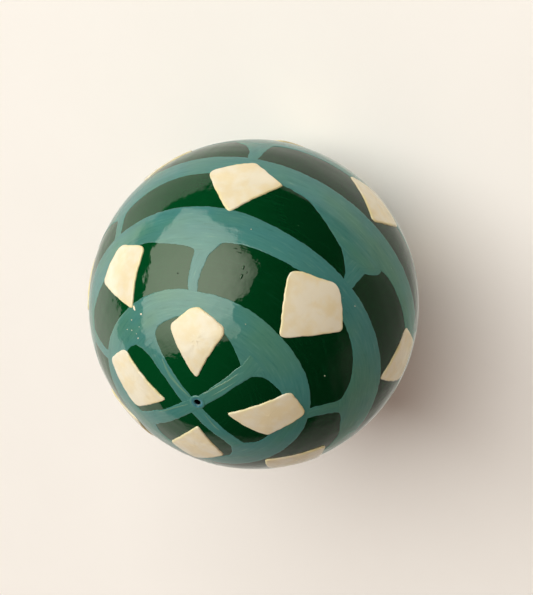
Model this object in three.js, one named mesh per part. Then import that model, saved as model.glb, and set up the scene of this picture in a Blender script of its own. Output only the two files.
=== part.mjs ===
// A painted labyrinth ball. Two glued half shells hold a core ball, and wall blocks between
// the core and the shells leave five ring corridors, joined by short passages, for one steel
// ball. Cream tiles on the outside mark where the straight way on is blocked.
//
// Millimetres. The origin is the centre of the ball, and +Z runs to the pole with the start
// peep hole. Places on the ball are given as a colatitude, measured down from +Z, and a
// longitude, measured from +X towards +Y, both in degrees.

import * as THREE from "three";
import { mergeVertices } from "three/addons/utils/BufferGeometryUtils.js";

// ---------- driving dimensions ----------

const BALL_RADIUS = 50;
const SHELL_THICKNESS = 4;
const CORRIDOR_DEPTH = 7;           // from the core to the inside of the shells
const CORRIDOR_WIDTH = 7.4;         // of the passages between two rings, and of the polar arms
const STEEL_BALL_RADIUS = 3;
const GAP = 0.3;                    // glue line or clearance between two pieces
const BLOCK_GAP = 0.4;              // the same above and below a wall block

const SEAM_LIP_HEIGHT = 2.4;        // tongue of the upper shell inside the lower one
const SEAM_LIP_RADIUS = 48;         // middle of the stepped seam

const TILE_THICKNESS = 0.6;

const BUSH_BORE_RADIUS = 0.8;
const BUSH_BARREL_RADIUS = 1.6;
const BUSH_FLANGE_RADIUS = 2.3;
const BUSH_FLANGE_THICKNESS = 0.7;

const DIMPLE_RADIUS = STEEL_BALL_RADIUS + 0.4;
const DIMPLE_DEPTH = 1.5;

// Each zone of wall blocks: its colatitudes, and the longitude of its first passage.
const ZONES = [
  { name: "north_cap", from: 7.2, to: 28, passage: 0 },
  { name: "belt_1", from: 37, to: 53.5, passage: 45 },
  { name: "belt_2", from: 64, to: 80.3, passage: 0 },
  { name: "belt_3", from: 90.6, to: 106.5, passage: 45 },
  { name: "belt_4", from: 117.5, to: 133.5, passage: 0 },
  { name: "south_cap", from: 144, to: 172.8, passage: 45 },
];
const BLOCKS_PER_ZONE = 4;
const BLOCK_CORNER_RADIUS = 3;      // on the side away from the start pole
const BALL_RING_COLATITUDE = 85.4;  // middle of the ring corridor the steel ball rests in
const BALL_REST_LONGITUDE = -20;

const SHELL_SEGMENTS = 40;
const CORE_SEGMENTS = 32;

// ---------- derived dimensions ----------

const SHELL_INSIDE = BALL_RADIUS - SHELL_THICKNESS;
const CORE_RADIUS = SHELL_INSIDE - CORRIDOR_DEPTH;
const BLOCK_INNER = CORE_RADIUS + BLOCK_GAP;
const BLOCK_OUTER = SHELL_INSIDE - BLOCK_GAP;
const TILE_INNER = BALL_RADIUS + GAP;
const TILE_OUTER = TILE_INNER + TILE_THICKNESS;
const DEGREE = Math.PI / 180;

// ---------- materials ----------

const standard = (color, roughness, metalness = 0) =>
  new THREE.MeshStandardMaterial({ color, roughness, metalness });

const greenLacquer = standard(0x00401c, 0.2);
const creamLacquer = standard(0xf2e6c6, 0.25);
const bareWood = standard(0xc79a64, 0.7);
const coreWood = standard(0xd8b27c, 0.6);
const eyeletMetal = standard(0x5a7f86, 0.35, 0.6);
const polishedSteel = standard(0xc9ccd0, 0.15, 1);

// ---------- helpers ----------

const assembly = new THREE.Group();
assembly.name = "labyrinth_ball";

/** Point on a sphere about the origin. */
function onBall(radius, colatitude, longitude) {
  const c = colatitude * DEGREE;
  const l = longitude * DEGREE;
  return new THREE.Vector3(
    radius * Math.sin(c) * Math.cos(l),
    radius * Math.sin(c) * Math.sin(l),
    radius * Math.cos(c),
  );
}

/** Value part of the way from a to b. */
const between = (a, b, share) => a + (b - a) * share;

/** Joins shared vertices and turns the faces outward where they all face in. */
function closed(geometry) {
  geometry.deleteAttribute("normal");
  geometry.deleteAttribute("uv");
  const solid = mergeVertices(geometry, 1e-3);
  const position = solid.attributes.position;
  const index = Array.from(solid.index.array);
  const a = new THREE.Vector3();
  const b = new THREE.Vector3();
  const c = new THREE.Vector3();
  const kept = [];
  let sixVolumes = 0;
  for (let i = 0; i < index.length; i += 3) {
    const [p, q, r] = index.slice(i, i + 3);
    if (p === q || q === r || r === p) continue;
    kept.push(p, q, r);
    a.fromBufferAttribute(position, p);
    b.fromBufferAttribute(position, q);
    c.fromBufferAttribute(position, r);
    sixVolumes += a.dot(b.cross(c));
  }
  if (sixVolumes < 0) {
    for (let i = 0; i < kept.length; i += 3) {
      [kept[i], kept[i + 1]] = [kept[i + 1], kept[i]];
    }
  }
  solid.setIndex(kept);
  solid.computeVertexNormals();
  return solid;
}

function addPiece(name, geometry, material) {
  const mesh = new THREE.Mesh(closed(geometry), material);
  mesh.name = name;
  assembly.add(mesh);
  return mesh;
}

/** Points (distance from the axis, height) along an arc of a sphere's section. */
function sectionArc(radius, fromColatitude, toColatitude, steps, centreHeight = 0) {
  const points = [];
  for (let i = 0; i <= steps; i += 1) {
    const c = (fromColatitude + ((toColatitude - fromColatitude) * i) / steps) * DEGREE;
    points.push(new THREE.Vector2(radius * Math.sin(c), centreHeight + radius * Math.cos(c)));
  }
  return points;
}

/** Turns a closed section about the Z axis. */
function turned(section, segments) {
  const lathe = new THREE.LatheGeometry(section, segments);
  lathe.rotateX(Math.PI / 2);
  return lathe;
}

/**
 * A solid between two spheres. rowsAt gives, for a radius, rows of points on that sphere, with
 * the same number of points in every row.
 */
function sphericalPlate(rowsAt, innerRadius, outerRadius) {
  const layers = [innerRadius, outerRadius].map(rowsAt);
  const rowCount = layers[0].length;
  const pointCount = layers[0][0].length;
  const vertices = layers.flat(2).flatMap((point) => point.toArray());
  const faces = [];
  const at = (layer, i, j) => (layer * rowCount + i) * pointCount + j;
  const quad = (a, b, c, d) => faces.push(a, b, c, a, c, d);
  const lastRow = rowCount - 1;
  const lastPoint = pointCount - 1;
  for (let i = 0; i < lastRow; i += 1) {
    for (let j = 0; j < lastPoint; j += 1) {
      quad(at(1, i, j), at(1, i + 1, j), at(1, i + 1, j + 1), at(1, i, j + 1));
      quad(at(0, i, j), at(0, i, j + 1), at(0, i + 1, j + 1), at(0, i + 1, j));
    }
    quad(at(0, i, 0), at(0, i + 1, 0), at(1, i + 1, 0), at(1, i, 0));
    quad(at(0, i + 1, lastPoint), at(0, i, lastPoint), at(1, i, lastPoint), at(1, i + 1, lastPoint));
  }
  for (let j = 0; j < lastPoint; j += 1) {
    quad(at(0, 0, j + 1), at(0, 0, j), at(1, 0, j), at(1, 0, j + 1));
    quad(at(0, lastRow, j), at(0, lastRow, j + 1), at(1, lastRow, j + 1), at(1, lastRow, j));
  }
  const geometry = new THREE.BufferGeometry();
  geometry.setAttribute("position", new THREE.Float32BufferAttribute(vertices, 3));
  geometry.setIndex(faces);
  return geometry;
}

// ---------- half shells, with a stepped glue seam at the equator ----------

const seatRadius = BUSH_FLANGE_RADIUS + GAP;
const holeRadius = BUSH_BARREL_RADIUS + GAP;
const seatFloor = BALL_RADIUS - BUSH_FLANGE_THICKNESS - GAP;

/** Section of a half shell for the +Z side, from its seam at the given heights. */
function halfShellSection(seamHeight, stepRadius, stepHeight) {
  const outerStart = Math.asin(seatRadius / BALL_RADIUS) / DEGREE;
  const outerEnd = Math.acos(seamHeight / BALL_RADIUS) / DEGREE;
  const innerStart = Math.acos(stepHeight / SHELL_INSIDE) / DEGREE;
  const innerEnd = Math.asin(holeRadius / SHELL_INSIDE) / DEGREE;
  const section = [
    ...sectionArc(BALL_RADIUS, outerStart, outerEnd, 12),
    new THREE.Vector2(stepRadius, seamHeight),
    new THREE.Vector2(stepRadius, stepHeight),
    ...sectionArc(SHELL_INSIDE, innerStart, innerEnd, 11),
    new THREE.Vector2(holeRadius, seatFloor),
    new THREE.Vector2(seatRadius, seatFloor),
  ];
  section.push(section[0].clone());
  return section;
}

const upperSection = halfShellSection(GAP / 2, SEAM_LIP_RADIUS - GAP / 2, -SEAM_LIP_HEIGHT);
addPiece("upper_shell", turned(upperSection, SHELL_SEGMENTS), greenLacquer);

// The lower shell is drawn on the +Z side and turned over about the X axis.
const lowerSection = halfShellSection(GAP / 2, SEAM_LIP_RADIUS + GAP / 2, SEAM_LIP_HEIGHT + GAP);
const lowerShell = turned(lowerSection, SHELL_SEGMENTS).rotateX(Math.PI);
addPiece("lower_shell", lowerShell, greenLacquer);

// ---------- peep-hole bushes: flanged eyelets, flush with the ball's surface ----------

const bushSection = [
  [BUSH_BORE_RADIUS, SHELL_INSIDE],
  [BUSH_BARREL_RADIUS, SHELL_INSIDE],
  [BUSH_BARREL_RADIUS, BALL_RADIUS - BUSH_FLANGE_THICKNESS],
  [BUSH_FLANGE_RADIUS, BALL_RADIUS - BUSH_FLANGE_THICKNESS],
  [BUSH_FLANGE_RADIUS, BALL_RADIUS],
  [BUSH_BORE_RADIUS, BALL_RADIUS],
  [BUSH_BORE_RADIUS, SHELL_INSIDE],
].map(([x, y]) => new THREE.Vector2(x, y));

addPiece("start_peep_bush", turned(bushSection, 20), eyeletMetal);
addPiece("finish_peep_bush", turned(bushSection, 20).rotateX(Math.PI), eyeletMetal);

// ---------- core ball, with a home dimple under each peep hole ----------

const dimpleCentre = CORE_RADIUS - DIMPLE_DEPTH + DIMPLE_RADIUS;
const dimpleRimHeight =
  (CORE_RADIUS ** 2 - DIMPLE_RADIUS ** 2 + dimpleCentre ** 2) / (2 * dimpleCentre);
const dimpleRimRadius = Math.sqrt(CORE_RADIUS ** 2 - dimpleRimHeight ** 2);
const dimpleHalfAngle = Math.asin(dimpleRimRadius / DIMPLE_RADIUS) / DEGREE;
const rimColatitude = Math.asin(dimpleRimRadius / CORE_RADIUS) / DEGREE;

const upperDimple = sectionArc(DIMPLE_RADIUS, 180, 180 - dimpleHalfAngle, 4, dimpleCentre);
const lowerDimple = sectionArc(DIMPLE_RADIUS, dimpleHalfAngle, 0, 4, -dimpleCentre);
const coreSection = [
  ...upperDimple,
  ...sectionArc(CORE_RADIUS, rimColatitude, 180 - rimColatitude, 18).slice(1, -1),
  ...lowerDimple,
];
coreSection[0].x = 0;
coreSection[coreSection.length - 1].x = 0;
addPiece("core_ball", turned(coreSection, CORE_SEGMENTS), coreWood);

// ---------- wall blocks: four in each zone, with passages of even width between them ----------

/** How far a block's side is turned from the middle of its passage, in degrees. */
function passageHalfAngle(radius, colatitude, inset) {
  const ringRadius = radius * Math.sin(colatitude * DEGREE);
  const widest = Math.SQRT1_2 * 0.99;
  return Math.asin(Math.min((CORRIDOR_WIDTH / 2 + inset) / ringRadius, widest)) / DEGREE;
}

/** Colatitudes and side insets of a block's rows, with rounded corners on the far side. */
function blockRows(zone) {
  const cornerSpan = BLOCK_CORNER_RADIUS / BLOCK_OUTER / DEGREE;
  const pointed = zone.name === "south_cap";
  const straightEnd = pointed ? zone.to : zone.to - cornerSpan;
  const straightRows = zone.name.endsWith("cap") ? 4 : 2;
  const rows = [];
  for (let i = 0; i <= straightRows; i += 1) {
    rows.push({ colatitude: between(zone.from, straightEnd, i / straightRows), inset: 0 });
  }
  if (pointed) return rows;
  for (const turn of [45, 90]) {
    rows.push({
      colatitude: straightEnd + cornerSpan * Math.sin(turn * DEGREE),
      inset: BLOCK_CORNER_RADIUS * (1 - Math.cos(turn * DEGREE)),
    });
  }
  return rows;
}

const blockSpan = 360 / BLOCKS_PER_ZONE;

function wallBlock(zone, k) {
  const columns = zone.name.endsWith("cap") ? 6 : 8;
  const rows = blockRows(zone);
  const first = zone.passage + blockSpan * k;
  const rowsAt = (radius) => rows.map(({ colatitude, inset }) => {
    const set = passageHalfAngle(radius, colatitude, inset);
    return Array.from({ length: columns + 1 }, (_, j) => {
      const longitude = between(first + set, first + blockSpan - set, j / columns);
      return onBall(radius, colatitude, longitude);
    });
  });
  return sphericalPlate(rowsAt, BLOCK_INNER, BLOCK_OUTER);
}

for (const zone of ZONES) {
  for (let k = 0; k < BLOCKS_PER_ZONE; k += 1) {
    addPiece(`wall_${zone.name}_${k + 1}`, wallBlock(zone, k), bareWood);
  }
}

// ---------- cream tiles: kites that start at a block's near edge and end in the next ring ----------

// Each tile has a tip, two side corners and an end, as [colatitude, longitude]. They are laid
// by hand, so no two are quite alike.
const TILES = [
  {
    zone: "north_cap",
    kites: [
      { tip: [10.3, 53], east: [27.2, 71], end: [32, 51], west: [26.3, 32] },
      { tip: [11.7, 145.5], east: [29, 165], end: [36.7, 137], west: [29.1, 119] },
      { tip: [10.4, 221], east: [27.9, 241.5], end: [35.9, 220], west: [28.7, 201] },
      { tip: [10.1, 306], east: [28.8, 329], end: [34.6, 309], west: [26.3, 290] },
    ],
  },
  {
    zone: "belt_1",
    kites: [
      { tip: [35.8, 1], east: [52.9, 18], end: [60.3, 2], west: [53.7, -14] },
      { tip: [37.1, 94.4], east: [53, 109], end: [59.6, 96], west: [54.7, 82] },
      { tip: [36.5, 181], east: [53.2, 196], end: [60, 179], west: [52.6, 165] },
      { tip: [36.4, 263.4], east: [50.8, 283], end: [60, 268], west: [48.1, 255] },
    ],
  },
  {
    zone: "belt_2",
    kites: [
      { tip: [64.6, 47], east: [79.9, 60], end: [87.8, 48], west: [80.9, 35] },
      { tip: [64, 136], east: [80.5, 148], end: [87.5, 134], west: [80, 123] },
      { tip: [64.4, 224], east: [80, 237], end: [88, 226], west: [80.8, 212] },
      { tip: [63.5, 315], east: [80, 327], end: [87.4, 318], west: [80.5, 306] },
    ],
  },
  {
    zone: "belt_3",
    kites: [
      { tip: [90.7, 4], east: [108, 17], end: [114, 4], west: [107, -8] },
      { tip: [91.2, 91], east: [107.2, 103], end: [114.4, 90], west: [107.8, 78] },
      { tip: [91, 179], east: [106.8, 192], end: [113.8, 181], west: [107.4, 168] },
      { tip: [90.9, 271], east: [107.6, 282], end: [114.6, 269], west: [106.9, 258] },
    ],
  },
  {
    zone: "belt_4",
    kites: [
      { tip: [117.8, 46], east: [133.6, 61], end: [140.8, 45], west: [134.4, 29] },
      { tip: [118.2, 134], east: [134.6, 151], end: [141.2, 136], west: [133.8, 119] },
      { tip: [117.6, 226], east: [133.2, 241], end: [140.4, 224], west: [134, 210] },
      { tip: [118, 314], east: [134.2, 330], end: [141, 315], west: [133.4, 298] },
    ],
  },
  {
    zone: "south_cap",
    kites: [
      { tip: [144.4, 1], east: [160.8, 28], end: [168, 2], west: [161.4, -26] },
      { tip: [144.8, 89], east: [161.2, 116], end: [168.4, 91], west: [160.6, 63] },
      { tip: [144.2, 181], east: [160.4, 207], end: [167.6, 179], west: [161, 153] },
      { tip: [144.6, 270], east: [161.6, 298], end: [168.2, 272], west: [161.2, 244] },
    ],
  },
];

// Rows of a kite as shares of the way from its tip, and then from its end, to its two side
// corners. The first and last shares leave the corners blunt.
const TIP_SHARES = [0.07, 0.35, 0.65, 0.94];
const END_SHARES = [0.94, 0.62, 0.3, 0.1];
const TILE_COLUMNS = 4;

/** Direction part of the way along the great circle from a to b. */
const alongArc = (a, b, share) => a.clone().lerp(b, share).normalize();

function kiteTile(kite) {
  const corner = (name) => onBall(1, ...kite[name]);
  const [tip, east, end, west] = ["tip", "east", "end", "west"].map(corner);
  const sides = [
    ...TIP_SHARES.map((share) => [alongArc(tip, west, share), alongArc(tip, east, share)]),
    ...END_SHARES.map((share) => [alongArc(end, west, share), alongArc(end, east, share)]),
  ];
  const rowsAt = (radius) => sides.map(([left, right]) => (
    Array.from({ length: TILE_COLUMNS + 1 }, (_, j) => (
      alongArc(left, right, j / TILE_COLUMNS).multiplyScalar(radius)
    ))
  ));
  return sphericalPlate(rowsAt, TILE_INNER, TILE_OUTER);
}

for (const { zone, kites } of TILES) {
  kites.forEach((kite, k) => addPiece(`tile_${zone}_${k + 1}`, kiteTile(kite), creamLacquer));
}

// ---------- steel ball, captive in the ring corridor above the seam ----------

const runRadius = (CORE_RADIUS + SHELL_INSIDE) / 2;
const steelBall = addPiece(
  "steel_ball",
  new THREE.SphereGeometry(STEEL_BALL_RADIUS, 20, 12).rotateX(Math.PI / 2),
  polishedSteel,
);
steelBall.position.copy(onBall(runRadius, BALL_RING_COLATITUDE, BALL_REST_LONGITUDE));

export default assembly;
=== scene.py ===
# %% [markdown]
# # The looks of a painted labyrinth ball
#
# The real thing is a wooden ball about the size of a large orange. A painter covers it with
# dark green, draws the corridors of the hidden maze over it in grey-teal, drops a thick cream
# kite wherever the straight way is blocked, and floods the lot with clear gloss lacquer.
#
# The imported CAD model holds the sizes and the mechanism. This script keeps that frame as it is
# and builds what the eye sees around it: fine shells, raised brush strokes, raised enamel
# tiles, and the lacquer. We start by loading the frame, and we keep its box, because the looks
# may not change the size of the object.

# %% Load the frame
import math

import bpy
import numpy as np
from mathutils import Matrix, Vector, noise


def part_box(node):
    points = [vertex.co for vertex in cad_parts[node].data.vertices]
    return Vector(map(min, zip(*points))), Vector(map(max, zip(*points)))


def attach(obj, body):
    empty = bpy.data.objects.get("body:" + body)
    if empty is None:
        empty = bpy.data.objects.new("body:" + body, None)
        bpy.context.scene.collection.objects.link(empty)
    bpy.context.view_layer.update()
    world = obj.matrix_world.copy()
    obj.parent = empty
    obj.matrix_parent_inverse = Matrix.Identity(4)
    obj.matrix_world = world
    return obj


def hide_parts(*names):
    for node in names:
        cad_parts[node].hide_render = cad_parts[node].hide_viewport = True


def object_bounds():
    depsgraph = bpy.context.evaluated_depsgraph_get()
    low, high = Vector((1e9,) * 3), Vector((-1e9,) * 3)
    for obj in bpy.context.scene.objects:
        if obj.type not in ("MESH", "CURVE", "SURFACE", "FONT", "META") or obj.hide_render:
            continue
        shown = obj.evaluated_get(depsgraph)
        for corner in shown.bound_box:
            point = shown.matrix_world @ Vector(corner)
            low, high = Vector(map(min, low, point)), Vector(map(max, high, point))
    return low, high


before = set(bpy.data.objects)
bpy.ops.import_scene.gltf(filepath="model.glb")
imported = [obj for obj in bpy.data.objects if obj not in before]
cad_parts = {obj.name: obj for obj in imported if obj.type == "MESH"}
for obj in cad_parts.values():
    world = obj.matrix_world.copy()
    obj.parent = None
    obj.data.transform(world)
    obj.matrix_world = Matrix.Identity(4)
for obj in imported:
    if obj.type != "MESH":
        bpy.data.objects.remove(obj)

CAD_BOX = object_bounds()
MM = 0.001
print("CAD box in mm:", [[round(x / MM, 1) for x in corner] for corner in CAD_BOX])

# %% [markdown]
# ## Sizes that the frame gives
#
# Every place on the ball is a colatitude, counted down from the pole with the start peep hole,
# and a longitude. The radii come from the boxes of the CAD nodes, so a change in the CAD model
# carries over. Lengths in this script are metres, and `MM` turns millimetres into them.

# %% Radii from the frame
shell_low, shell_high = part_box("upper_shell")
core_low, core_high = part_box("core_ball")
bush_low, bush_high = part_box("start_peep_bush")
run_low, run_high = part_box("steel_ball")

BALL_R = shell_high.x
CORE_R = core_high.x
BUSH_FLANGE_R = bush_high.x
SHELL_IN_R = bush_low.z
SEAM_LIP = -shell_low.z
STEEL_R = (run_high.x - run_low.x) / 2
FLOOR_Z = CAD_BOX[0].z
print(f"ball radius {BALL_R / MM:.2f} mm, core {CORE_R / MM:.2f}, inside of shell {SHELL_IN_R / MM:.2f}")

# %% [markdown]
# ## The camera
#
# The ball is seen from eight radii away, well above its widest part, with a long lens. The
# camera is rolled, as a hand-held one over a table would be, so the pole with the peep hole
# comes low and to the left. A small shift places the ball a little off the middle.

# %% Camera
VIEW_COLATITUDE = math.radians(38.55)
VIEW_LONGITUDE = math.radians(23.70)
VIEW_ROLL = math.radians(-150.12)
VIEW_DISTANCE = 8 * BALL_R
LENS = 79.2                # mm, behind a frame SENSOR mm wide
SENSOR = 36
SHIFT_ACROSS = 0.0215      # share of the frame's width
SHIFT_UP = 0.0113


def on_ball(radius, colatitude, longitude):
    """Point, or array of points, at a colatitude and longitude given in radians."""
    ring = radius * np.sin(colatitude)
    return np.stack([ring * np.cos(longitude), ring * np.sin(longitude),
                     radius * np.cos(colatitude) + 0 * longitude], axis=-1)


view_back = Vector(on_ball(1.0, VIEW_COLATITUDE, VIEW_LONGITUDE))
level_up = (Vector((0, 0, 1)) - view_back * view_back.z).normalized()
view_up = Matrix.Rotation(VIEW_ROLL, 3, view_back) @ level_up
view_right = view_up.cross(view_back)
view_axes = Matrix((view_right, view_up, view_back)).transposed()

camera_data = bpy.data.cameras.new("camera")
camera_data.lens = LENS
camera_data.sensor_width = SENSOR
camera_data.shift_x = SHIFT_ACROSS
camera_data.shift_y = SHIFT_UP
camera_data.clip_start = 0.01
camera = bpy.data.objects.new("camera", camera_data)
camera.matrix_world = Matrix.Translation(view_back * VIEW_DISTANCE) @ view_axes.to_4x4()
bpy.context.scene.collection.objects.link(camera)
bpy.context.scene.camera = camera
print("camera at", [round(x, 3) for x in camera.location])

# %% [markdown]
# ## Making a piece
#
# All the meshes here are worked out as arrays of points first. One helper turns points and
# faces into a piece, reverses the faces if the piece as a whole came out inside out, shades it
# smooth, and stores what the materials will ask for: `brush`
# holds, for every point, millimetres measured along and across the stroke, with the length
# along it squeezed, so that a plain noise read through it comes out as long brush marks.
# `edge` is the distance to the rim of the stroke.

# %% Helper: arrays to a piece
STREAK_SQUEEZE = 9.0    # how many times longer than wide a brush mark is
SMALLEST_VOLUME = 1e-13  # cubic metres; a flat sheet stays under it


def enclosed_volume(points, faces):
    """Volume that the faces close in; it is negative when they face inward."""
    flat = points.reshape(-1, 3) - points.reshape(-1, 3).mean(axis=0)
    fans = np.array([(f[0], f[k], f[k + 1]) for f in faces for k in range(1, len(f) - 1)])
    a, b, c = flat[fans[:, 0]], flat[fans[:, 1]], flat[fans[:, 2]]
    return float((a * np.cross(b, c)).sum() / 6)


def make_piece(name, points, faces, material, brush=None, edge=None):
    if enclosed_volume(points, faces) < -SMALLEST_VOLUME:
        faces = [face[::-1] for face in faces]
    mesh = bpy.data.meshes.new(name)
    mesh.from_pydata(points.reshape(-1, 3).tolist(), [], faces)
    for key, kind, values in (("brush", "FLOAT_VECTOR", brush), ("edge", "FLOAT", edge)):
        if values is not None:
            made = mesh.attributes.new(key, kind, "POINT")
            made.data.foreach_set("vector" if kind == "FLOAT_VECTOR" else "value",
                                  np.asarray(values, float).ravel())
    mesh.shade_smooth()
    mesh.materials.append(material)
    piece = bpy.data.objects.new(name, mesh)
    bpy.context.scene.collection.objects.link(piece)
    return piece


def settle(piece, body, slot, *nodes):
    """Attaches a piece to its body and hides the CAD nodes that it stands for; the slot is not used."""
    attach(piece, body)
    if nodes:
        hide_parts(*nodes)


def grid_faces(rows, columns, wrap_rows=False, wrap_columns=False):
    """Quads over a grid of points, counted row by row."""
    faces = []
    for i in range(rows if wrap_rows else rows - 1):
        below = (i + 1) % rows
        for j in range(columns if wrap_columns else columns - 1):
            beside = (j + 1) % columns
            faces.append((i * columns + j, below * columns + j,
                          below * columns + beside, i * columns + beside))
    return faces


def ring_brush(colatitude, longitude):
    """Brush coordinates of paint that was dragged round the ball, in millimetres."""
    radius = BALL_R / MM
    ring = radius * np.sin(colatitude) / STREAK_SQUEEZE
    return np.stack([ring * np.cos(longitude), ring * np.sin(longitude),
                     radius * colatitude + 0 * longitude], axis=-1)


# %% [markdown]
# ## The unsteady hand
#
# Nothing on the ball is ruled. `wander` is a smooth wobble made of a few sine waves that close
# on themselves, so it can run all the way round a ring. `unevenness` is Perlin noise on the
# ball's surface, for the slight hills and hollows that sanding and thick paint leave.

# %% Helpers: wobble and unevenness
def wander(angle, seed, size):
    """Wobble of about the given size along a closed line; the angle is in radians."""
    draws = np.random.default_rng(seed)
    total = 0 * angle
    for waves, share in ((2, 0.8), (3, 0.7), (5, 0.6), (8, 0.45), (13, 0.3), (21, 0.22), (34, 0.12)):
        total = total + share * np.sin(waves * angle + draws.uniform(0, 2 * math.pi))
    return size * total / 1.3


def unevenness(points, cell, seed):
    """Perlin noise between about -1 and 1 at points, with hills of about the given size."""
    offset = Vector((seed * 7.31, seed * 3.17, seed * 5.53))
    flat = points.reshape(-1, 3)
    values = [noise.noise(Vector(p) / cell + offset) for p in flat]
    return np.array(values).reshape(points.shape[:-1])


print("wobble sample:", np.round(wander(np.linspace(0, 1, 4), 1, 1.0), 2))

# %% [markdown]
# ## Shader groups
#
# The paints share what brushes and lacquer do, so each effect is a node group with named
# sockets, built once. `Brush marks` reads the brush coordinates and gives a mask of long
# streaks. `Lacquer skin` gives the height of the clear coat over the paint: a slow swell where
# the lacquer pooled, the drag of the lacquer brush, and a few dust nibs caught while it dried.
# It also gives a mask of those nibs, so a paint can brighten there.

# %% Helpers: nodes
def group_of(name, inputs, outputs):
    """New shader node group with (kind, name, value) sockets; returns its tree and two ends."""
    tree = bpy.data.node_groups.new(name, "ShaderNodeTree")
    for kind, label, value in inputs:
        socket = tree.interface.new_socket(label, in_out="INPUT", socket_type="NodeSocket" + kind)
        if value is not None:
            socket.default_value = value
    for kind, label in outputs:
        tree.interface.new_socket(label, in_out="OUTPUT", socket_type="NodeSocket" + kind)
    return tree, tree.nodes.new("NodeGroupInput"), tree.nodes.new("NodeGroupOutput")


def node(tree, kind, settings=None, inputs=None):
    """Adds a node, sets its properties, and fills or links its inputs by name or number."""
    made = tree.nodes.new(kind)
    for key, value in (settings or {}).items():
        setattr(made, key, value)
    for key, value in (inputs or {}).items():
        if isinstance(value, bpy.types.NodeSocket):
            tree.links.new(value, made.inputs[key])
        else:
            made.inputs[key].default_value = value
    return made


def math_node(tree, operation, a, b=0.0, clamp=False):
    made = node(tree, "ShaderNodeMath", {"operation": operation, "use_clamp": clamp}, {0: a, 1: b})
    return made.outputs[0]


def span(tree, value, low, high, to_low=0.0, to_high=1.0, smooth=True):
    """Maps a value from one span to another, held at its ends."""
    kind = "SMOOTHSTEP" if smooth else "LINEAR"
    made = node(tree, "ShaderNodeMapRange", {"interpolation_type": kind, "clamp": True},
                {"Value": value, "From Min": low, "From Max": high,
                 "To Min": to_low, "To Max": to_high})
    return made.outputs["Result"]


def mix_colour(tree, factor, a, b, blend="MIX"):
    made = tree.nodes.new("ShaderNodeMix")
    made.data_type = "RGBA"
    made.blend_type = blend
    for socket, value in ((made.inputs["Factor"], factor), (made.inputs[6], a), (made.inputs[7], b)):
        if isinstance(value, bpy.types.NodeSocket):
            tree.links.new(value, socket)
        else:
            socket.default_value = value if socket.type == "VALUE" else (*value[:3], 1.0)
    return made.outputs[2]


def noise_of(tree, vector, scale, detail=2.0, roughness=0.5, output="Fac"):
    made = node(tree, "ShaderNodeTexNoise", None,
                {"Vector": vector, "Scale": scale, "Detail": detail, "Roughness": roughness})
    return made.outputs[output]


# %% Group: brush marks
brush_marks, ends_in, ends_out = group_of(
    "Brush marks",
    [("Vector", "Brush", None), ("Float", "Marks per mm", 1.2), ("Float", "Contrast", 1.0)],
    [("Float", "Streaks"), ("Float", "Patches")])
fine = noise_of(brush_marks, ends_in.outputs["Brush"], ends_in.outputs["Marks per mm"], 4.0, 0.6)
centred = math_node(brush_marks, "SUBTRACT", fine, 0.5)
scaled = math_node(brush_marks, "MULTIPLY", centred, ends_in.outputs["Contrast"])
streaks = math_node(brush_marks, "ADD", scaled, 0.5, clamp=True)
brush_marks.links.new(streaks, ends_out.inputs["Streaks"])
broad = noise_of(brush_marks, ends_in.outputs["Brush"], 0.16, 2.0)
brush_marks.links.new(span(brush_marks, broad, 0.35, 0.65), ends_out.inputs["Patches"])
print("group:", brush_marks.name)

# %% Group: lacquer skin
LACQUER_SQUEEZE = 3.2      # how many times longer than wide a ripple in the lacquer is

lacquer_skin, ends_in, ends_out = group_of(
    "Lacquer skin",
    [("Vector", "Millimetres", None), ("Float", "Swell", 0.2), ("Float", "Drag", 0.03),
     ("Float", "Nib height", 0.03)],
    [("Float", "Height"), ("Float", "Nibs")])
position = ends_in.outputs["Millimetres"]
parts = node(lacquer_skin, "ShaderNodeSeparateXYZ", None, {0: position})
reach = node(lacquer_skin, "ShaderNodeVectorMath", {"operation": "LENGTH"}, {0: position}).outputs["Value"]
level = math_node(lacquer_skin, "DIVIDE", parts.outputs["Z"], reach)
down = math_node(lacquer_skin, "MULTIPLY", math_node(lacquer_skin, "ARCCOSINE", level), BALL_R / MM)
dragged = node(lacquer_skin, "ShaderNodeCombineXYZ", None, {
    "X": math_node(lacquer_skin, "DIVIDE", parts.outputs["X"], LACQUER_SQUEEZE),
    "Y": math_node(lacquer_skin, "DIVIDE", parts.outputs["Y"], LACQUER_SQUEEZE),
    "Z": down}).outputs["Vector"]
swell = math_node(lacquer_skin, "MULTIPLY", noise_of(lacquer_skin, dragged, 0.16, 1.0),
                  ends_in.outputs["Swell"])
torn = mix_colour(lacquer_skin, 0.45, position, dragged)
drag = math_node(lacquer_skin, "MULTIPLY", noise_of(lacquer_skin, torn, 0.45, 2.0, 0.4),
                 ends_in.outputs["Drag"])
cells = node(lacquer_skin, "ShaderNodeTexVoronoi", {"feature": "F1"},
             {"Vector": position, "Scale": 0.16})
chosen = node(lacquer_skin, "ShaderNodeSeparateColor", None, {0: cells.outputs["Color"]})
keep = math_node(lacquer_skin, "GREATER_THAN", chosen.outputs[0], 0.6)
near = span(lacquer_skin, cells.outputs["Distance"], 0.035, 0.012)
nibs = math_node(lacquer_skin, "MULTIPLY", near, keep)
nib_height = math_node(lacquer_skin, "MULTIPLY", nibs, ends_in.outputs["Nib height"])
total = math_node(lacquer_skin, "ADD", math_node(lacquer_skin, "ADD", swell, drag), nib_height)
lacquer_skin.links.new(math_node(lacquer_skin, "MULTIPLY", total, MM), ends_out.inputs["Height"])
lacquer_skin.links.new(nibs, ends_out.inputs["Nibs"])
print("group:", lacquer_skin.name)
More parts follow.
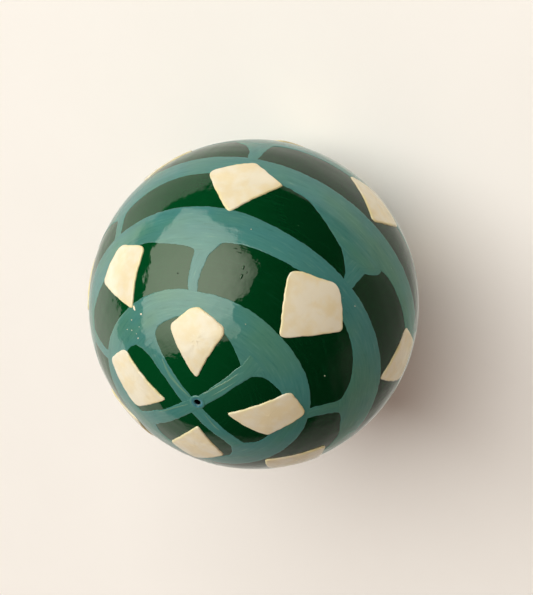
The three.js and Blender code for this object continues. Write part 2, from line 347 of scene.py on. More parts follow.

# %% [markdown]
# ## The paints
#
# All the paints are the same recipe with their own colours: a diffuse colour that the brush
# marks vary, under a clear and very smooth gloss. The gloss is the specular layer of the
# Principled shader, with the lacquer skin and the bristles' ridges as its bump. The green also
# carries painted shade, and the cream takes an `edge` mask that turns it darker yellow near its rim.

# %% Helpers: start a material
LACQUER_IOR = 1.5
BRISTLE_RIDGE = 0.010      # mm that the bristles' ridges stand up under the lacquer


def plain_material(name):
    """New material with its node tree and its shader."""
    material = bpy.data.materials.new(name)
    material.use_nodes = True
    return material, material.node_tree, material.node_tree.nodes["Principled BSDF"]


def place_in_mm(tree):
    """Place on the object in millimetres."""
    coordinates = node(tree, "ShaderNodeTexCoord")
    return node(tree, "ShaderNodeVectorMath", {"operation": "SCALE"},
                {0: coordinates.outputs["Object"], "Scale": 1 / MM}).outputs[0]


def painted_material(name, marks_per_mm, contrast, swell, drag):
    """Material with the two groups in place; returns the parts that a paint goes on with."""
    material, tree, shader = plain_material(name)
    shader.inputs["IOR"].default_value = LACQUER_IOR
    millimetres = place_in_mm(tree)
    brush = node(tree, "ShaderNodeAttribute", {"attribute_name": "brush"}).outputs["Vector"]
    marks = node(tree, "ShaderNodeGroup", {"node_tree": brush_marks},
                 {"Brush": brush, "Marks per mm": marks_per_mm, "Contrast": contrast})
    skin = node(tree, "ShaderNodeGroup", {"node_tree": lacquer_skin},
                {"Millimetres": millimetres, "Swell": swell, "Drag": drag})
    ridges = math_node(tree, "MULTIPLY", marks.outputs["Streaks"], BRISTLE_RIDGE * MM)
    height = math_node(tree, "ADD", skin.outputs["Height"], ridges)
    bump = node(tree, "ShaderNodeBump", None, {"Height": height, "Distance": 1.0, "Strength": 1.0})
    tree.links.new(bump.outputs["Normal"], shader.inputs["Normal"])
    return material, tree, shader, millimetres, marks, skin


def gloss(tree, shader, marks, smooth=0.02, dull=0.06):
    """Roughness of the lacquer, a little duller along some brush marks."""
    value = span(tree, marks.outputs["Streaks"], 0.2, 0.9, smooth, dull, smooth=False)
    tree.links.new(value, shader.inputs["Roughness"])


# %% Dark green
GREEN_BASE = (0.0, 0.058, 0.013)
GREEN_PAINTED_SHADE = (0.0, 0.028, 0.006)
GREEN_STREAK = (0.004, 0.072, 0.024)
GREEN_DUST = (0.12, 0.2, 0.12)
green, tree, shader, millimetres, marks, skin = painted_material(
    "green_paint", marks_per_mm=1.4, contrast=1.3, swell=0.22, drag=0.12)
# Painted shade: the green turns darker on the side of the ball away from the lights.
lit_side = tuple(on_ball(1.0, math.radians(60), math.radians(115)))
side = node(tree, "ShaderNodeVectorMath", {"operation": "DOT_PRODUCT"},
            {0: millimetres, 1: lit_side}).outputs["Value"]
painted_shade = span(tree, side, 40.0, 0.0)
base = mix_colour(tree, painted_shade, GREEN_BASE, GREEN_PAINTED_SHADE)
streaky = mix_colour(tree, span(tree, marks.outputs["Streaks"], 0.45, 0.95, 0.0, 0.35),
                     base, GREEN_STREAK)
dusty = mix_colour(tree, span(tree, skin.outputs["Nibs"], 0.2, 1.0, 0.0, 0.4), streaky, GREEN_DUST)
tree.links.new(dusty, shader.inputs["Base Color"])
gloss(tree, shader, marks)

# %% Grey-teal
TEAL_COOL = (0.068, 0.243, 0.212)
TEAL_WARM = (0.084, 0.246, 0.172)
TEAL_BLUISH = (0.055, 0.208, 0.215)
TEAL_LIGHT = (0.14, 0.34, 0.27)
TEAL_DARK = (0.045, 0.18, 0.15)
TEAL_DUST = (0.35, 0.5, 0.42)
TEAL_PALE = (0.22, 0.37, 0.24)
teal, tree, shader, millimetres, marks, skin = painted_material(
    "teal_paint", marks_per_mm=1.6, contrast=1.7, swell=0.22, drag=0.12)
hue = mix_colour(tree, span(tree, noise_of(tree, millimetres, 0.06, 2.0), 0.35, 0.65),
                 TEAL_COOL, TEAL_WARM)
bluish = math_node(tree, "MULTIPLY", marks.outputs["Patches"], 0.45)
hue = mix_colour(tree, bluish, hue, TEAL_BLUISH)
light = mix_colour(tree, span(tree, marks.outputs["Streaks"], 0.5, 1.0, 0.0, 0.45), hue, TEAL_LIGHT)
dark = mix_colour(tree, span(tree, marks.outputs["Streaks"], 0.45, 0.05, 0.0, 0.7), light, TEAL_DARK)
dusty = mix_colour(tree, span(tree, skin.outputs["Nibs"], 0.2, 1.0, 0.0, 0.5), dark, TEAL_DUST)
pale = mix_colour(tree, span(tree, marks.outputs["Streaks"], 0.78, 1.0, 0.0, 0.5), dusty, TEAL_PALE)
tree.links.new(pale, shader.inputs["Base Color"])
gloss(tree, shader, marks)

# %% Cream enamel
CREAM_WHITE = (0.93, 0.86, 0.66)
CREAM_WARM = (0.90, 0.78, 0.50)
CREAM_BLUSH = (0.92, 0.82, 0.54)
CREAM_RIM = (0.87, 0.76, 0.36)
CREAM_SOFT = (0.95, 0.91, 0.77)
cream, tree, shader, millimetres, marks, skin = painted_material(
    "cream_enamel", marks_per_mm=0.9, contrast=1.2, swell=0.12, drag=0.07)
patch = span(tree, noise_of(tree, millimetres, 0.17, 3.0), 0.38, 0.66)
body = mix_colour(tree, patch, CREAM_WHITE, CREAM_WARM)
blush = span(tree, noise_of(tree, millimetres, 0.31, 2.0), 0.55, 0.75, 0.0, 0.5)
body = mix_colour(tree, blush, body, CREAM_BLUSH)
# The cream turns a darker yellow near the rim of each tile, in patches picked by noise.
edge = node(tree, "ShaderNodeAttribute", {"attribute_name": "edge"}).outputs["Fac"]
rim_here = span(tree, noise_of(tree, millimetres, 0.12, 1.0), 0.42, 0.60)
rim = math_node(tree, "MULTIPLY", span(tree, edge, 1.1, 0.1, 0.0, 0.7), rim_here)
body = mix_colour(tree, rim, body, CREAM_RIM)
soft = mix_colour(tree, span(tree, marks.outputs["Streaks"], 0.5, 1.0, 0.0, 0.35), body, CREAM_SOFT)
tree.links.new(soft, shader.inputs["Base Color"])
gloss(tree, shader, marks, smooth=0.05, dull=0.14)
print("paints:", [m.name for m in (green, teal, cream)])

# %% [markdown]
# ## Half shells
#
# Each half shell is turned on a lathe, so it is a closed section spun about the polar axis: the
# outside, the stepped glue seam at the equator, the inside, and the seat of the peep bush. The
# outside is then pushed in and out by a few hundredths of a millimetre, the way a sanded and
# primed ball really is, so that reflections waver on it.

# %% Sections of the shells
SEAT_R = BUSH_FLANGE_R + 0.05 * MM
HOLE_R = BUSH_FLANGE_R - 0.5 * MM
SEAT_DEPTH = 0.75 * MM
SEAM_STEP_R = (BALL_R + SHELL_IN_R) / 2
SEAM_PLAY = 0.05 * MM      # glue gap on either side of the seam's step
SHELL_HILLS = 0.05         # mm that sanding left the outside uneven
SHELL_HILL_SIZE = 14 * MM
LONGITUDE_STEPS = 200


def arc_section(radius, start, stop, step):
    """(distance from the axis, height) along an arc; angles in degrees from the pole."""
    angles = np.radians(np.linspace(start, stop, max(2, int(abs(stop - start) / step) + 1)))
    return np.stack([radius * np.sin(angles), radius * np.cos(angles)], axis=1)


def shell_section(step_r, step_z):
    """Closed section of a half shell on the +Z side; its seam is a step at the equator."""
    outside = arc_section(BALL_R, math.degrees(math.asin(SEAT_R / BALL_R)), 90, 0.9)
    inside_start = math.degrees(math.acos(step_z / SHELL_IN_R))
    inside = arc_section(SHELL_IN_R, inside_start, math.degrees(math.asin(HOLE_R / SHELL_IN_R)), 4)
    floor_z = BALL_R - SEAT_DEPTH
    step = np.array([[step_r, 0], [step_r, step_z]])
    seat = np.array([[HOLE_R, floor_z], [SEAT_R, floor_z]])
    return np.concatenate([outside, step, inside, seat]), len(outside)


def turned(section, steps):
    """Points of a section spun about Z, as rows of the section by columns of longitude."""
    longitude = np.linspace(0, 2 * math.pi, steps, endpoint=False)
    return np.stack([section[:, :1] * np.cos(longitude), section[:, :1] * np.sin(longitude),
                     section[:, 1:] + 0 * longitude], axis=-1)


# %% Green ground on both shells
def green_shell(name, cad_node, side, step_r, step_z):
    section, outside_count = shell_section(step_r, step_z)
    points = turned(section, LONGITUDE_STEPS)
    skin_points = points[:outside_count]
    swell = unevenness(skin_points * [1, 1, side], SHELL_HILL_SIZE, 3) * SHELL_HILLS * MM
    skin_points *= (1 + swell / BALL_R)[..., None]
    points[..., 2] *= side
    colatitude = np.arccos(np.clip(points[..., 2] / np.linalg.norm(points, axis=-1), -1, 1))
    longitude = np.arctan2(points[..., 1], points[..., 0])
    faces = grid_faces(len(section), LONGITUDE_STEPS, wrap_rows=True, wrap_columns=True)
    if side < 0:
        faces = [face[::-1] for face in faces]
    piece = make_piece(name, points, faces, green, ring_brush(colatitude, longitude),
                       np.full(points.shape[:-1], 3.0))
    piece.data.set_sharp_from_angle(angle=math.radians(35))
    settle(piece, "case", "shell_paint", cad_node)
    print(name, len(piece.data.polygons), "faces")


green_shell("painted_upper_shell", "upper_shell", 1, SEAM_STEP_R - SEAM_PLAY, -SEAM_LIP)
green_shell("painted_lower_shell", "lower_shell", -1, SEAM_STEP_R + SEAM_PLAY, SEAM_LIP + 0.1 * MM)

# %% [markdown]
# ## Painted rings
#
# A ring is one long stroke of grey-teal with a thickness that can be felt with a fingernail.
# Its section is a flat loaf: the rim rises within a third of a millimetre, then the top runs
# level with fine ridges from the bristles. The section is swept round the ball between two
# wandering edges and closed underneath, so it is a solid that sits a little into the green.

# %% Edges of the rings
# Each edge is a list of (longitude, colatitude) places that the painter's brush went through.
# Where a ring meets a post or a bar its near edge swings towards it, which rounds off the
# corners of the green fields.
RING_EDGES = (
    (((0, 19.4), (10, 21.2), (20, 23.6), (30, 26), (45, 28.5), (60, 29.2), (72, 28.5), (80, 27.8),
      (85, 26.6), (88, 25), (93, 23.5), (99, 23.2), (104, 24.2), (107, 26.4), (112, 28),
      (125, 29.6), (145, 31), (162, 30), (170, 27.6), (178, 25.6), (184, 25.7), (193, 28.2),
      (205, 29.5), (225, 29.5), (242, 28), (250, 25.8), (255, 22), (261, 21), (268, 22.4),
      (278, 25), (290, 26.4), (310, 28), (330, 27), (340, 25.2), (347, 23.6), (352, 20.8)),
     ((0, 35.9), (20, 36.2), (40, 36.6), (55, 36.9), (61, 37.5), (70, 37.8), (90, 38.1),
      (110, 38.2), (130, 38.8), (150, 39.2), (180, 38.4), (210, 37.3), (240, 36.3),
      (280, 35.8), (300, 36.2), (330, 36.2))),
    (((0, 55.2), (10, 55.2), (20, 54.8), (30, 54.4), (40, 54), (44, 53.6), (47, 52.8),
      (49, 51), (52, 49.5), (56, 49.6), (60, 50.9), (65, 52), (70, 52.8), (75, 54),
      (80, 55.2), (90, 55.6), (100, 55), (110, 54.2), (120, 53.5), (127, 52.6), (132, 50.5),
      (138, 49.8), (143, 51.5), (152, 53.8), (165, 54.6), (180, 54.8), (200, 54.2),
      (214, 52.6), (222, 50.4), (229, 50.6), (238, 53), (255, 54), (275, 54), (290, 53),
      (300, 49.8), (304, 48.8), (308, 47), (313, 46.6), (317, 48.4), (320, 49.8), (325, 51.3),
      (330, 52.5), (336, 53.6), (345, 54.4)),
     ((0, 63.8), (15, 63.6), (30, 63.8), (42, 64.7), (55, 65.3), (70, 65.6), (90, 65.2),
      (110, 64.8), (140, 64.2), (180, 63.8), (220, 64.2), (260, 63.8), (300, 63.5),
      (315, 63.9), (340, 63.9))),
    (((0, 71.5), (5, 70.4), (8, 71.2), (11, 72.4), (15, 74.2), (20, 76.5), (25, 78.8),
      (30, 79.7), (36, 80.3), (48, 80.6), (60, 80.3), (70, 80.2), (76, 79.5), (81, 78.5),
      (86, 77.2), (91, 75.4), (96, 73), (100, 75), (105, 77.5), (112, 79.3), (122, 80.2),
      (137, 80.3), (155, 79.8), (169, 78.2), (177, 75.2), (183, 75.4), (191, 78.4),
      (205, 80), (225, 80.3), (245, 79.8), (259, 78.2), (267, 75.4), (273, 75.6),
      (281, 78.4), (293, 79.8), (312, 80.3), (330, 80.1), (342, 80.1), (347, 79.6),
      (350, 78.8), (352.5, 77.4), (354.5, 75)),
     ((0, 90.4), (20, 90.3), (40, 90.4), (60, 90.5), (90, 90.4), (120, 90.6), (180, 90.4),
      (240, 90.6), (300, 90.8), (330, 91), (350, 90.7))),
)


def through(places, longitude):
    """Smooth closed curve through (longitude, value) places; longitude in degrees."""
    known = np.array(places, float)
    at = np.concatenate([known[-2:, 0] - 360, known[:, 0], known[:2, 0] + 360])
    value = np.concatenate([known[-2:, 1], known[:, 1], known[:2, 1]])
    slope = np.gradient(value, at)
    turned_to = np.mod(longitude, 360)
    k = np.clip(np.searchsorted(at, turned_to, side="right") - 1, 0, len(at) - 2)
    gap = at[k + 1] - at[k]
    t = (turned_to - at[k]) / gap
    return ((1 + 2 * t) * (1 - t) ** 2 * value[k] + t * (1 - t) ** 2 * gap * slope[k]
            + t * t * (3 - 2 * t) * value[k + 1] + t * t * (t - 1) * gap * slope[k + 1])


# %% [markdown]
# The two rings on the far side of the equator carry on in the same hand. Their near edges are
# a steady colatitude with a swing, like a blunt spike, towards each post that they meet.

# %% Rings beyond the equator
POST_LONGITUDES = ((55, 136, 226, 311), (-1.5, 96, 180, 270), (48.5, 135, 224, 316), (2, 91, 179, 268))
SOUTH_BAR_LONGITUDES = (45, 136, 225, 314)
SWING = 4.6                # degrees that a ring's edge swings towards a post


def swung_edge(base, posts, longitude, swing=SWING, width=5.5):
    """Edge at a steady colatitude that swings by some degrees near each post."""
    value = base + 0 * longitude
    for post in posts:
        away = np.abs((longitude - post + 180) % 360 - 180)
        value = value - swing * np.exp(-np.maximum(away - 1.5, 0) / width)
    return value


def ring_edges(number, longitude):
    """Colatitudes in degrees of the near and far edge of ring 1 to 5."""
    if number <= 3:
        near, far = RING_EDGES[number - 1]
        return through(near, longitude), through(far, longitude)
    if number == 4:
        return swung_edge(107.2, POST_LONGITUDES[2], longitude), 117.3 + 0 * longitude
    near = swung_edge(134.2, POST_LONGITUDES[3], longitude)
    return near, swung_edge(144.0, SOUTH_BAR_LONGITUDES, longitude, -8.0, 7.5)


print("ring 1 at longitude 45:", np.round(ring_edges(1, np.array([45.0])), 1).ravel())

# %% Rings
STROKE_RIM = 0.35          # mm over which a stroke's rim rises
STROKE_FOOT = 0.12         # mm that a stroke reaches down into the green
STROKE_SINK = 0.03         # mm that the top of a stroke has shrunk while it dried
BRISTLE_HEIGHT = 0.014     # mm that the bristles' furrows vary the top
RING_THICKNESS = 0.10
BAR_THICKNESS = 0.08
OVER_BAR_THICKNESS = 0.13


def loaf(distance, thickness, rim=STROKE_RIM):
    """Height in mm of a stroke's top at a distance in mm from its rim."""
    share = np.clip(distance / rim, 0, 1)
    return thickness * np.sqrt(1 - (1 - share) ** 2)


def ragged(points, seed):
    """Fine raggedness of a brushed edge, in metres."""
    return (0.16 * unevenness(points, 1.7 * MM, seed) + 0.09 * unevenness(points, 0.7 * MM, seed)) * MM


def across_shares(count):
    """Places across a stroke from 0 to 1, closer together near the two rims."""
    return 0.5 - 0.5 * np.cos(np.linspace(0, math.pi, count))


def ring_stroke(number, seed):
    longitude = np.radians(np.arange(0, 360, 0.6))[:, None]
    near, far = ring_edges(number, np.degrees(longitude))
    inner = np.radians(near) + wander(longitude, seed, 0.10 * MM) / BALL_R
    outer = np.radians(far) + wander(longitude, seed + 50, 0.08 * MM) / BALL_R
    inner = inner + ragged(on_ball(BALL_R, inner, longitude), seed) / BALL_R
    outer = outer + ragged(on_ball(BALL_R, outer, longitude), seed + 3) / BALL_R
    share = across_shares(28)[None, :]
    colatitude = inner + (outer - inner) * share
    width = (outer - inner) * BALL_R / MM
    distance = width * np.minimum(share, 1 - share)
    unit = on_ball(1.0, colatitude, longitude + 0 * share)
    brush = ring_brush(colatitude, longitude)
    bristles = unevenness(brush, 0.9, seed) * np.clip(distance / 0.5, 0, 1)
    height = loaf(distance, RING_THICKNESS) + BRISTLE_HEIGHT * bristles - STROKE_SINK
    top = unit * (BALL_R + height * MM)[..., None]
    under = unit[:, ::-1][:, ::3] * (BALL_R - STROKE_FOOT * MM)
    points = np.concatenate([top, under], axis=1)
    edges = np.concatenate([distance, 0 * under[..., 0]], axis=1)
    brushes = np.concatenate([brush, brush[:, ::-1][:, ::3]], axis=1)
    rows, columns = points.shape[:2]
    faces = grid_faces(rows, columns, wrap_rows=True, wrap_columns=True)
    piece = make_piece(f"painted_ring_{number}", points, [f[::-1] for f in faces], teal, brushes, edges)
    settle(piece, "case", "shell_paint")
    return piece


for number in range(1, 6):
    ring = ring_stroke(number, 10 + number)
print("rings: 5 with", len(ring.data.polygons), "faces each")

# %% [markdown]
# ## Bars over the poles and posts between the rings
#
# These strokes are pulled along the ball from one ring towards the next. A stroke is a line of
# stations, each with a direction from the ball's centre, a heading, and a reach to the left
# and to the right. Near a ring the reach grows along a quarter circle, because the painter
# rounded the corners of the green fields. The ends dip under the rings.

# %% Helper: a straight stroke
def bar_stroke(name, left_edge, right_edge, thickness, seed, paint=teal):
    """Stroke between two edges, each given as one unit vector per station."""
    share = across_shares(18)[None, :, None]
    unit = left_edge[:, None] * (1 - share) + right_edge[:, None] * share
    unit /= np.linalg.norm(unit, axis=-1, keepdims=True)
    middle = (left_edge + right_edge) / 2
    run = np.concatenate([[0], np.cumsum(np.linalg.norm(np.diff(middle, axis=0), axis=1))])
    run = (run * BALL_R / MM)[:, None]
    width = np.linalg.norm(right_edge - left_edge, axis=1)[:, None] * BALL_R / MM
    across = width * share[..., 0]
    distance = np.minimum(np.minimum(across, width - across), np.minimum(run, run[-1] - run))
    brush = np.stack([run / STREAK_SQUEEZE + 0 * across, 0 * across + seed * 9.7, across], axis=-1)
    bristles = unevenness(brush, 0.8, seed) * np.clip(distance / 0.5, 0, 1)
    height = loaf(distance, thickness) + BRISTLE_HEIGHT * bristles - STROKE_SINK
    top = unit * (BALL_R + height * MM)[..., None]
    under = unit[:, ::-1] * (BALL_R - STROKE_FOOT * MM)
    points = np.concatenate([top, under], axis=1)
    edges = np.concatenate([distance, 0 * distance], axis=1)
    brushes = np.concatenate([brush, brush[:, ::-1]], axis=1)
    rows, columns = points.shape[:2]
    faces = grid_faces(rows, columns, wrap_columns=True)
    # These two end faces are wound against the sides of the stroke, so they face inward.
    faces.append(tuple(reversed(range(columns))))
    faces.append(tuple((rows - 1) * columns + j for j in range(columns)))
    piece = make_piece(name, points, [f[::-1] for f in faces], paint, brushes, edges)
    settle(piece, "case", "shell_paint")
    return piece


# %% Posts between rings
# West and east edge of a post, as (share of the way between the rings, longitude) places.
POST_EDGES = {
    (1, 1): (((0, 53.6), (0.2, 53.5), (0.38, 52.8), (0.55, 51.8), (0.68, 50.8), (0.8, 49), (1, 46)),
             ((0, 58.4), (0.1, 59), (0.25, 58.9), (0.42, 58.3), (0.6, 58), (0.75, 57.8), (1, 61))),
    (1, 2): (((0, 132.4), (0.1, 133), (0.5, 132.8), (1, 131.5)),
             ((0, 138.5), (0.2, 139), (0.6, 138.9), (1, 140))),
    (1, 4): (((0, 306.5), (0.1, 307.3), (0.25, 307.7), (0.45, 307.8), (0.6, 307.4), (0.75, 306), (1, 302)),
             ((0, 313.8), (0.1, 314.4), (0.3, 314.2), (0.5, 314.2), (0.65, 314.6), (1, 317))),
    (2, 1): (((0, -4.4), (0.3, -4.5), (0.6, -4.7), (0.66, -5), (0.69, -6.3), (0.78, -6.7), (1, -9)),
             ((0, 0.2), (0.12, 1.2), (0.25, 2.5), (0.38, 4.2), (0.5, 6), (1, 14))),
    (2, 2): (((0, 94.7), (0.3, 94), (0.6, 93.4), (1, 91)),
             ((0, 98.8), (0.2, 98.3), (0.5, 98.2), (0.75, 99), (1, 101))),
    (3, 1): (((0, 46.7), (0.4, 46.2), (0.8, 45.5), (1, 44)),
             ((0, 50.3), (0.25, 50.6), (0.45, 52.4), (0.6, 54), (1, 61))),
}
POST_TUCK = 2.2            # degrees that a post runs on under each ring


def post_stroke(zone, place, seed):
    middle = POST_LONGITUDES[zone - 1][place - 1]
    start = float(ring_edges(zone, np.array([middle]))[1][0])
    stop = float(ring_edges(zone + 1, np.array([middle + 20.0]))[0][0])
    colatitude = np.linspace(start - POST_TUCK, stop + POST_TUCK, 70)
    share = (colatitude - start) / (stop - start)
    draws = np.random.default_rng(seed)
    half = np.degrees(1.75 * MM / (BALL_R * math.sin(math.radians((start + stop) / 2))))
    plain = [(0, half), (0.3, 0.95 * half), (0.6, half), (0.8, 1.2 * half), (1, 1.8 * half)]
    lean = draws.uniform(-1, 1)
    generic = ([(s, middle + lean * s - w) for s, w in plain],
               [(s, middle + lean * s + w) for s, w in plain])
    edges = []
    for side, places in enumerate(POST_EDGES.get((zone, place), generic)):
        known = np.array(places)
        bearing = np.interp(share, known[:, 0], known[:, 1])
        bearing = np.convolve(np.pad(bearing, 2, mode="edge"), np.ones(5) / 5, mode="valid")
        line = on_ball(BALL_R, np.radians(colatitude), np.radians(bearing))
        wobble = wander(share * 3, seed + side, 0.07 * MM) + ragged(line, seed + side)
        wobble = wobble / (BALL_R * np.sin(np.radians(colatitude)))
        edges.append(on_ball(1.0, np.radians(colatitude), np.radians(bearing) + wobble))
    bar_stroke(f"painted_post_{zone}_{place}", edges[0], edges[1], BAR_THICKNESS, seed)


for zone in range(1, 5):
    for place in range(1, 5):
        post_stroke(zone, place, 100 + 10 * zone + place)
print("posts: 16")

# %% [markdown]
# ## The crosses over the poles
#
# Each polar cap has two bars that cross beside the peep hole. They are laid out on a flat map
# of the cap, in millimetres, where one bar runs along X and the other along Y. The south cap
# has its cross turned by an eighth of a turn. The bars stop at the bush, because the painter
# lifted the brush there, so a round hole is cut through them.

# %% Bars that cross at the poles
NORTH_X_BAR = (((-26, 4.2), (-24, 3.9), (-17, 3.2), (-14.6, 2.8), (-10.2, 2.4), (-6, 2.2), (0, 1.6),
                (4, 1.4), (8.6, 1.67), (14, 1.8), (18, 2.0), (22, 3.0)),
               ((-26, -1.6), (-22, -1.6), (-15, -1.9), (-8.5, -1.96), (0, -1.9), (8.5, -2.04),
                (13, -2.2), (17.2, -2.45), (22, -3.4)))
NORTH_Y_BAR = (((-24, -7.5), (-20.5, -6.2), (-18, -4.9), (-15, -4.5), (-8, -4.6), (-3, -4.4), (3, -4.1),
                (7, -3.9), (12, -3.95), (15, -4.1), (17.8, -4.5), (20.2, -5.4), (24, -8.5)),
               ((-24, -0.5), (-17, -0.6), (-13, -0.45), (-7, -0.35), (0, -0.3), (8, -0.15),
                (13, -0.2), (17, 0.05), (21, 0.7), (24, 1.6)))
SOUTH_X_BAR = (((-26, 2.9), (-18, 2.2), (-8, 1.9), (0, 1.8), (9, 2.0), (18, 2.3), (26, 3.1)),
               ((-26, -2.6), (-17, -2.1), (-8, -1.8), (0, -2.0), (9, -2.0), (18, -2.2), (26, -2.9)))
SOUTH_Y_BAR = (((-26, -3.6), (-18, -2.6), (-8, -2.3), (0, -2.2), (9, -2.4), (18, -2.6), (26, -3.5)),
               ((-26, 2.4), (-17, 1.8), (-8, 1.5), (0, 1.4), (9, 1.6), (18, 1.9), (26, 2.6)))
HOLE_IN_PAINT_R = 1.0 * MM
DRILL_SIDES = 40
SOUTH_BAR_REACH = 26.5     # mm from the pole to either end of a bar of the south cross


def cap_points(x, y, pole, turn):
    """Unit vectors for places on the flat map of a cap, in millimetres along the surface."""
    angle = np.hypot(x, y) * MM / BALL_R
    return on_ball(1.0, angle, np.arctan2(y, x) + math.radians(turn)) * [1, 1, pole]


def polar_bar(name, pole, turn, along_x, edges, thickness, seed, rough=1.0, paint=teal):
    reach = edges[0][-1][0] if pole > 0 else SOUTH_BAR_REACH
    first = edges[0][0][0] if pole > 0 else -SOUTH_BAR_REACH
    along = np.linspace(first, reach, 150)
    rims = []
    for side, places in enumerate(edges):
        known = np.array(places)
        offset = np.interp(along, known[:, 0], known[:, 1])
        offset = np.convolve(np.pad(offset, 3, mode="edge"), np.ones(7) / 7, mode="valid")
        line = np.stack([along, offset, 0 * along + side], axis=-1) * MM
        offset = offset + rough * (wander(along / 8, seed + side, 0.07) + ragged(line, seed + side) / MM)
        x, y = (along, offset) if along_x else (offset, along)
        rims.append(cap_points(x, y, pole, turn))
    if along_x == (pole > 0):
        rims.reverse()
    return bar_stroke(name, rims[1], rims[0], thickness, seed, paint)


crosses = [
    polar_bar("painted_bar_north_under", 1, 0, False, NORTH_Y_BAR, BAR_THICKNESS, 201),
    polar_bar("painted_bar_north_over", 1, 0, True, NORTH_X_BAR, OVER_BAR_THICKNESS, 202),
    polar_bar("painted_bar_south_under", -1, 45, False, SOUTH_Y_BAR, BAR_THICKNESS, 203),
    polar_bar("painted_bar_south_over", -1, 45, True, SOUTH_X_BAR, OVER_BAR_THICKNESS, 204),
]


def bore_paint(piece, pole):
    """Cuts the round hole at a pole through a painted bar."""
    ring = np.linspace(0, 2 * math.pi, DRILL_SIDES, endpoint=False)
    circle = np.stack([HOLE_IN_PAINT_R * np.cos(ring), HOLE_IN_PAINT_R * np.sin(ring), 0 * ring], axis=1)
    height = np.array([0, 0, 2 * MM])
    pole_point = np.array([0, 0, pole * BALL_R])
    drill_points = np.concatenate([circle - height, circle + height]) + pole_point
    count = DRILL_SIDES
    sides = [(j, (j + 1) % count, count + (j + 1) % count, count + j) for j in range(count)]
    ends = [tuple(reversed(range(count))), tuple(range(count, 2 * count))]
    drill = make_piece("drill", drill_points, sides + ends, teal)
    cut = piece.modifiers.new("hole", "BOOLEAN")
    cut.operation = "DIFFERENCE"
    cut.object = drill
    cut.solver = "EXACT"
    graph = bpy.context.evaluated_depsgraph_get()
    bored = bpy.data.meshes.new_from_object(piece.evaluated_get(graph))
    piece.modifiers.clear()
    piece.data = bored
    bpy.data.objects.remove(drill)


for cross, pole in zip(crosses, (1, 1, -1, -1)):
    bore_paint(cross, pole)
print("bars:", len(crosses))

# %% [markdown]
# The brush was not quite clean, so a few thin pale streaks run along the bars of the cross. Each
# streak is a line on the cap's map with a half width, laid just on top of its bar.

# %% Pale streaks on the bars
STREAK_LINES = (
    (False, ((2.4, -0.78, 0.16), (6.2, -1.3, 0.26), (10.4, -1.75, 0.34), (13.0, -1.4, 0.26),
             (15.6, -0.9, 0.14))),
    (True, ((3.2, 1.15, 0.12), (8.0, 0.95, 0.22), (12.6, 0.5, 0.2), (16.0, 0.6, 0.1))),
    (True, ((5.0, -0.5, 0.1), (9.5, -0.75, 0.18), (14.5, -0.9, 0.1))),
    (True, ((-15.2, 2.3, 0.12), (-8.2, 1.7, 0.24), (-2.9, 0.8, 0.12))),
    (False, ((-11.0, -2.1, 0.12), (-8.9, -1.95, 0.2), (-4.2, -1.25, 0.12))),
)
STREAK_SPREAD = 1.5        # how many times wider the streaks are laid than the lines say
STREAK_LIFT_OVER = 0.18    # mm above the ball on the upper bar, and on the lower one
STREAK_LIFT_UNDER = 0.13
STREAK_ROUGH = 0.25        # share of a bar's raggedness
PALE_LOW = (0.095, 0.26, 0.195)
PALE_HIGH = (0.19, 0.36, 0.24)
pale_teal, tree, shader, millimetres, marks, skin = painted_material(
    "pale_teal_paint", marks_per_mm=1.6, contrast=1.5, swell=0.22, drag=0.12)
wash = mix_colour(tree, marks.outputs["Streaks"], PALE_LOW, PALE_HIGH)
tree.links.new(wash, shader.inputs["Base Color"])
gloss(tree, shader, marks)

for number, (along_x, line) in enumerate(STREAK_LINES):
    high = tuple((run, offset + STREAK_SPREAD * half) for run, offset, half in line)
    low = tuple((run, offset - STREAK_SPREAD * half) for run, offset, half in line)
    lift = STREAK_LIFT_OVER if along_x else STREAK_LIFT_UNDER
    polar_bar(f"pale_streak_{number + 1}", 1, 0, along_x, (high, low), lift, 220 + number,
              STREAK_ROUGH, pale_teal)
print("pale streaks:", len(STREAK_LINES))

# %% [markdown]
# ## Cream tiles
#
# A tile is a thick dab of cream enamel with a full, rounded rim. Its outline comes from its CAD
# node: the corner points of the coarse tile, spread flat on the plane that touches the ball
# under it, then cut round in a few passes and given a slight wobble. The top is laid over that
# outline in nested loops, close together at the rim where the enamel rolls down.

# %% Corners of a tile from its CAD node
TILE_THICKNESS = 0.42      # mm
TILE_RIM = 0.55            # mm over which the rim rolls down
TILE_FOOT = 0.2            # mm that a tile reaches down into the green
TILE_SLOW_LUMPS = 0.06     # mm, broad hills in the enamel, and small ones
TILE_QUICK_LUMPS = 0.035
TILE_LOOPS = (0.0, 0.05, 0.12, 0.22, 0.36, 0.56, 0.85, 1.3, 2.0, 3.0, 4.2, 5.6, 7.0)
OUTLINE_POINTS = 150
CORNER_REACH = (1.0, 0.9, 0.8, 0.9)    # mm that corners stand out before they are rounded
CORNER_REACHES = {
    "tile_north_cap_1": (2.2, 1.1, 1.3, 1.6), "tile_north_cap_2": (1.2, 0.9, 0.7, 0.7),
    "tile_north_cap_3": (1.2, 0.7, 0.6, 0.7), "tile_north_cap_4": (1.2, 1.2, 1.2, 0.8),
    "tile_belt_1_1": (1.7, 1.4, 1.0, 0.8), "tile_belt_1_2": (1.4, 0.7, 1.1, 1.6),
    "tile_belt_2_1": (1.9, 1.3, 0.6, 1.1), "tile_belt_2_2": (0.2, 0.6, 0.7, 0.9),
    "tile_belt_3_2": (0.2, 0.7, 0.8, 0.6), "tile_belt_1_3": (0.2, 0.7, 0.8, 0.8),
}


def flat_axes(direction):
    """East and south on the ball at a direction, as unit vectors."""
    east = np.cross([0, 0, 1.0], direction)
    east /= np.linalg.norm(east)
    return east, -np.cross(direction, east)


